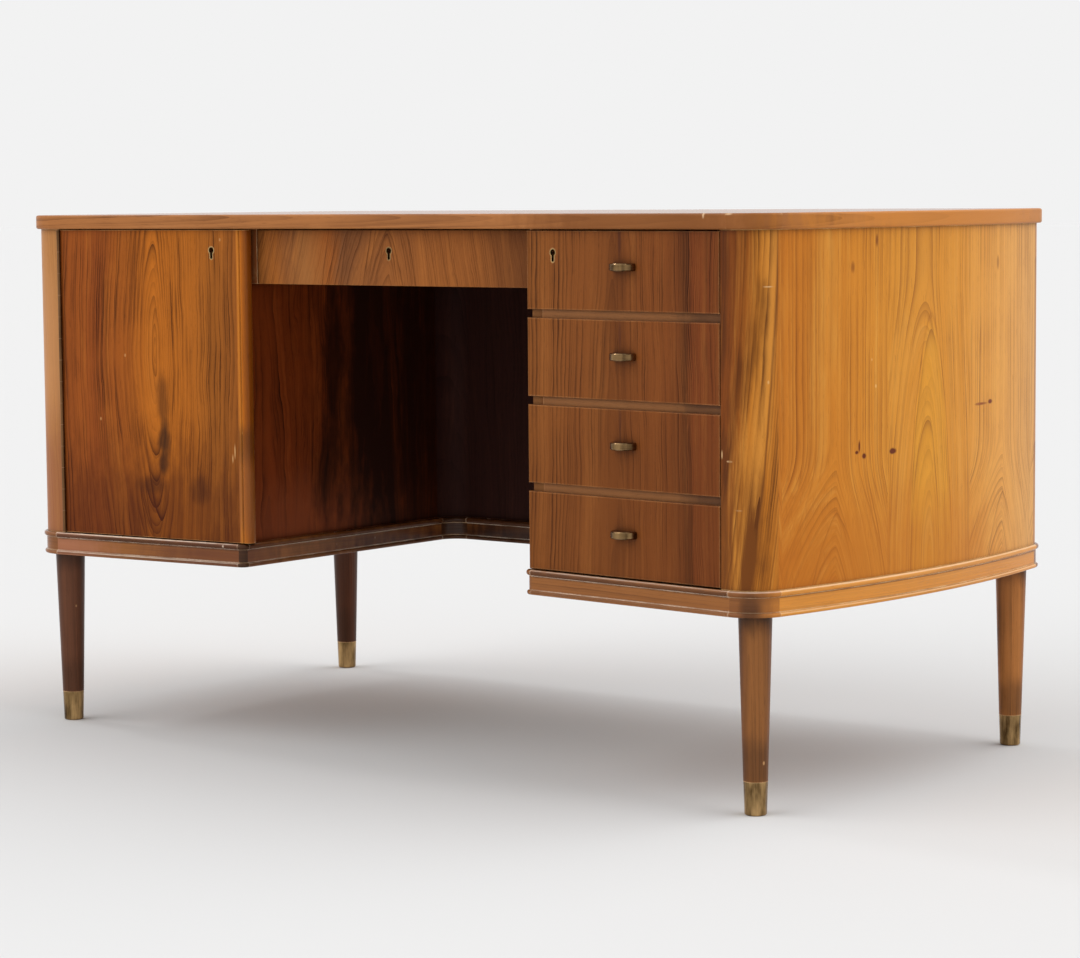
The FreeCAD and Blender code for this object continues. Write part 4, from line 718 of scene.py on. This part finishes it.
# The centre drawer: a shallow front without a pull, opened by its key, in two leaves of streaky veneer opened
# like a book, so that their lines lean towards each other at the top. It is duller at both ends.
dress(
    timber("centre_front_veneer", (74, 34, 11), (152, 88, 36), (192, 118, 54), (210, 154, 96), leaf=0.6,
           shift=(0, 0, -0.66), pitch=0.0075, depth=0.02, taper=0.24, point=1.15, warp=0.035, seed=101.0,
           streak=1.4, ring=1.1, level=1.0, coat=0.02, mirror=0.06,
           bands=((-0.25, (122, 76, 40)), (-0.21, (164, 96, 38)), (-0.185, (136, 82, 42)),
                  (-0.154, (162, 104, 54)), (-0.114, (162, 92, 38)), (-0.09, (130, 80, 44)),
                  (-0.01, (150, 90, 44)), (0.09, (156, 92, 42)), (0.154, (150, 88, 40)),
                  (0.2, (130, 76, 36)), (0.25, (114, 66, 32)))),
    "centre_drawer_front",
)


# The room: a wide pale floor, even light from all round, a broad soft lamp from high on the right and behind,
# a weaker one from the left in front and a small glint from high on the left. The background is as pale as
# the lit floor.
def in_scene(name, data):
    """A new object for the data, linked into the scene."""
    made = bpy.data.objects.new(name, data)
    bpy.context.scene.collection.objects.link(made)
    return made


floor_reach = 60.0
floor_grey = 0.687
floor_mesh = bpy.data.meshes.new("floor")
corners = [(x * floor_reach, y * floor_reach, 0.0) for x, y in ((-1, -1), (1, -1), (1, 1), (-1, 1))]
floor_mesh.from_pydata(corners, [], [(0, 1, 2, 3)])
floor = in_scene("floor", floor_mesh)
floor_paint, floor_tree = blank_material("floor_paint")
floor_sockets = floor_tree.nodes["Principled BSDF"].inputs
floor_sockets["Base Color"].default_value = (floor_grey, floor_grey, floor_grey, 1.0)
floor_sockets["Roughness"].default_value = 1.0
floor_sockets["Specular IOR Level"].default_value = 0.0
floor_mesh.materials.append(floor_paint)

pale = 0.888
sky_strength = 0.68
room = bpy.data.worlds.new("room")
bpy.context.scene.world = room
room.use_nodes = True
sky = room.node_tree
seen_by = add(sky, "LightPath").outputs
shown = calc(sky, "MAXIMUM", seen_by["Is Camera Ray"],
             calc(sky, "MAXIMUM", seen_by["Is Glossy Ray"], seen_by["Is Transmission Ray"]))
even_light = add(sky, "Background", (1.0, 1.0, 1.0, 1.0), sky_strength).outputs[0]
backdrop = add(sky, "Background", (pale, pale, pale, 1.0), 1.0).outputs[0]
blend = add(sky, "MixShader", shown, even_light, backdrop)
sky.links.new(blend.outputs[0], sky.nodes["World Output"].inputs["Surface"])

for lamp_name, towards, lamp_power, spread in (
    ("high_lamp", (0.50, 0.45, 0.74), 1.5, 75.0),
    ("front_lamp", (-0.45, -0.62, 0.64), 1.0, 60.0),
    ("glint", (-0.62, 0.05, 0.78), 0.22, 7.0),
):
    lamp = bpy.data.lights.new(lamp_name, "SUN")
    lamp.energy = lamp_power
    lamp.angle = math.radians(spread)
    back = np.array(towards) / np.linalg.norm(towards)
    side = np.cross((0.0, 0.0, 1.0), back)
    side = side / np.linalg.norm(side)
    turned_to = np.column_stack([side, np.cross(back, side), back])
    in_scene(lamp_name, lamp).matrix_world = Matrix(turned_to.tolist()).to_4x4()


# The camera: a long lens at table height, in front and well to the right, as the picture was taken.
# Its place, its angles and its focal length, in pixels of the picture, were fitted to the desk's edges.
eye = np.array([2.78903, -3.48921, 0.77552])
yaw, pitch, roll = 0.6689, 0.0913, 0.0084
focal_pixels, picture_pixels = 3115.24, 1080.0
ahead = np.array([-math.sin(yaw) * math.cos(pitch), math.cos(yaw) * math.cos(pitch), -math.sin(pitch)])
level = np.array([math.cos(yaw), math.sin(yaw), 0.0])
below = np.cross(ahead, level)
right_way = math.cos(roll) * level + math.sin(roll) * below
down_way = math.cos(roll) * below - math.sin(roll) * level
lens = bpy.data.cameras.new("camera")
lens.sensor_width = 36.0
lens.lens = focal_pixels / picture_pixels * lens.sensor_width
lens.clip_end = 200.0
pose = np.eye(4)
pose[:3] = np.column_stack([right_way, -down_way, -ahead, eye])
camera = in_scene("camera", lens)
camera.matrix_world = Matrix(pose.tolist())
bpy.context.scene.camera = camera
bpy.context.scene.view_settings.view_transform = "Standard"
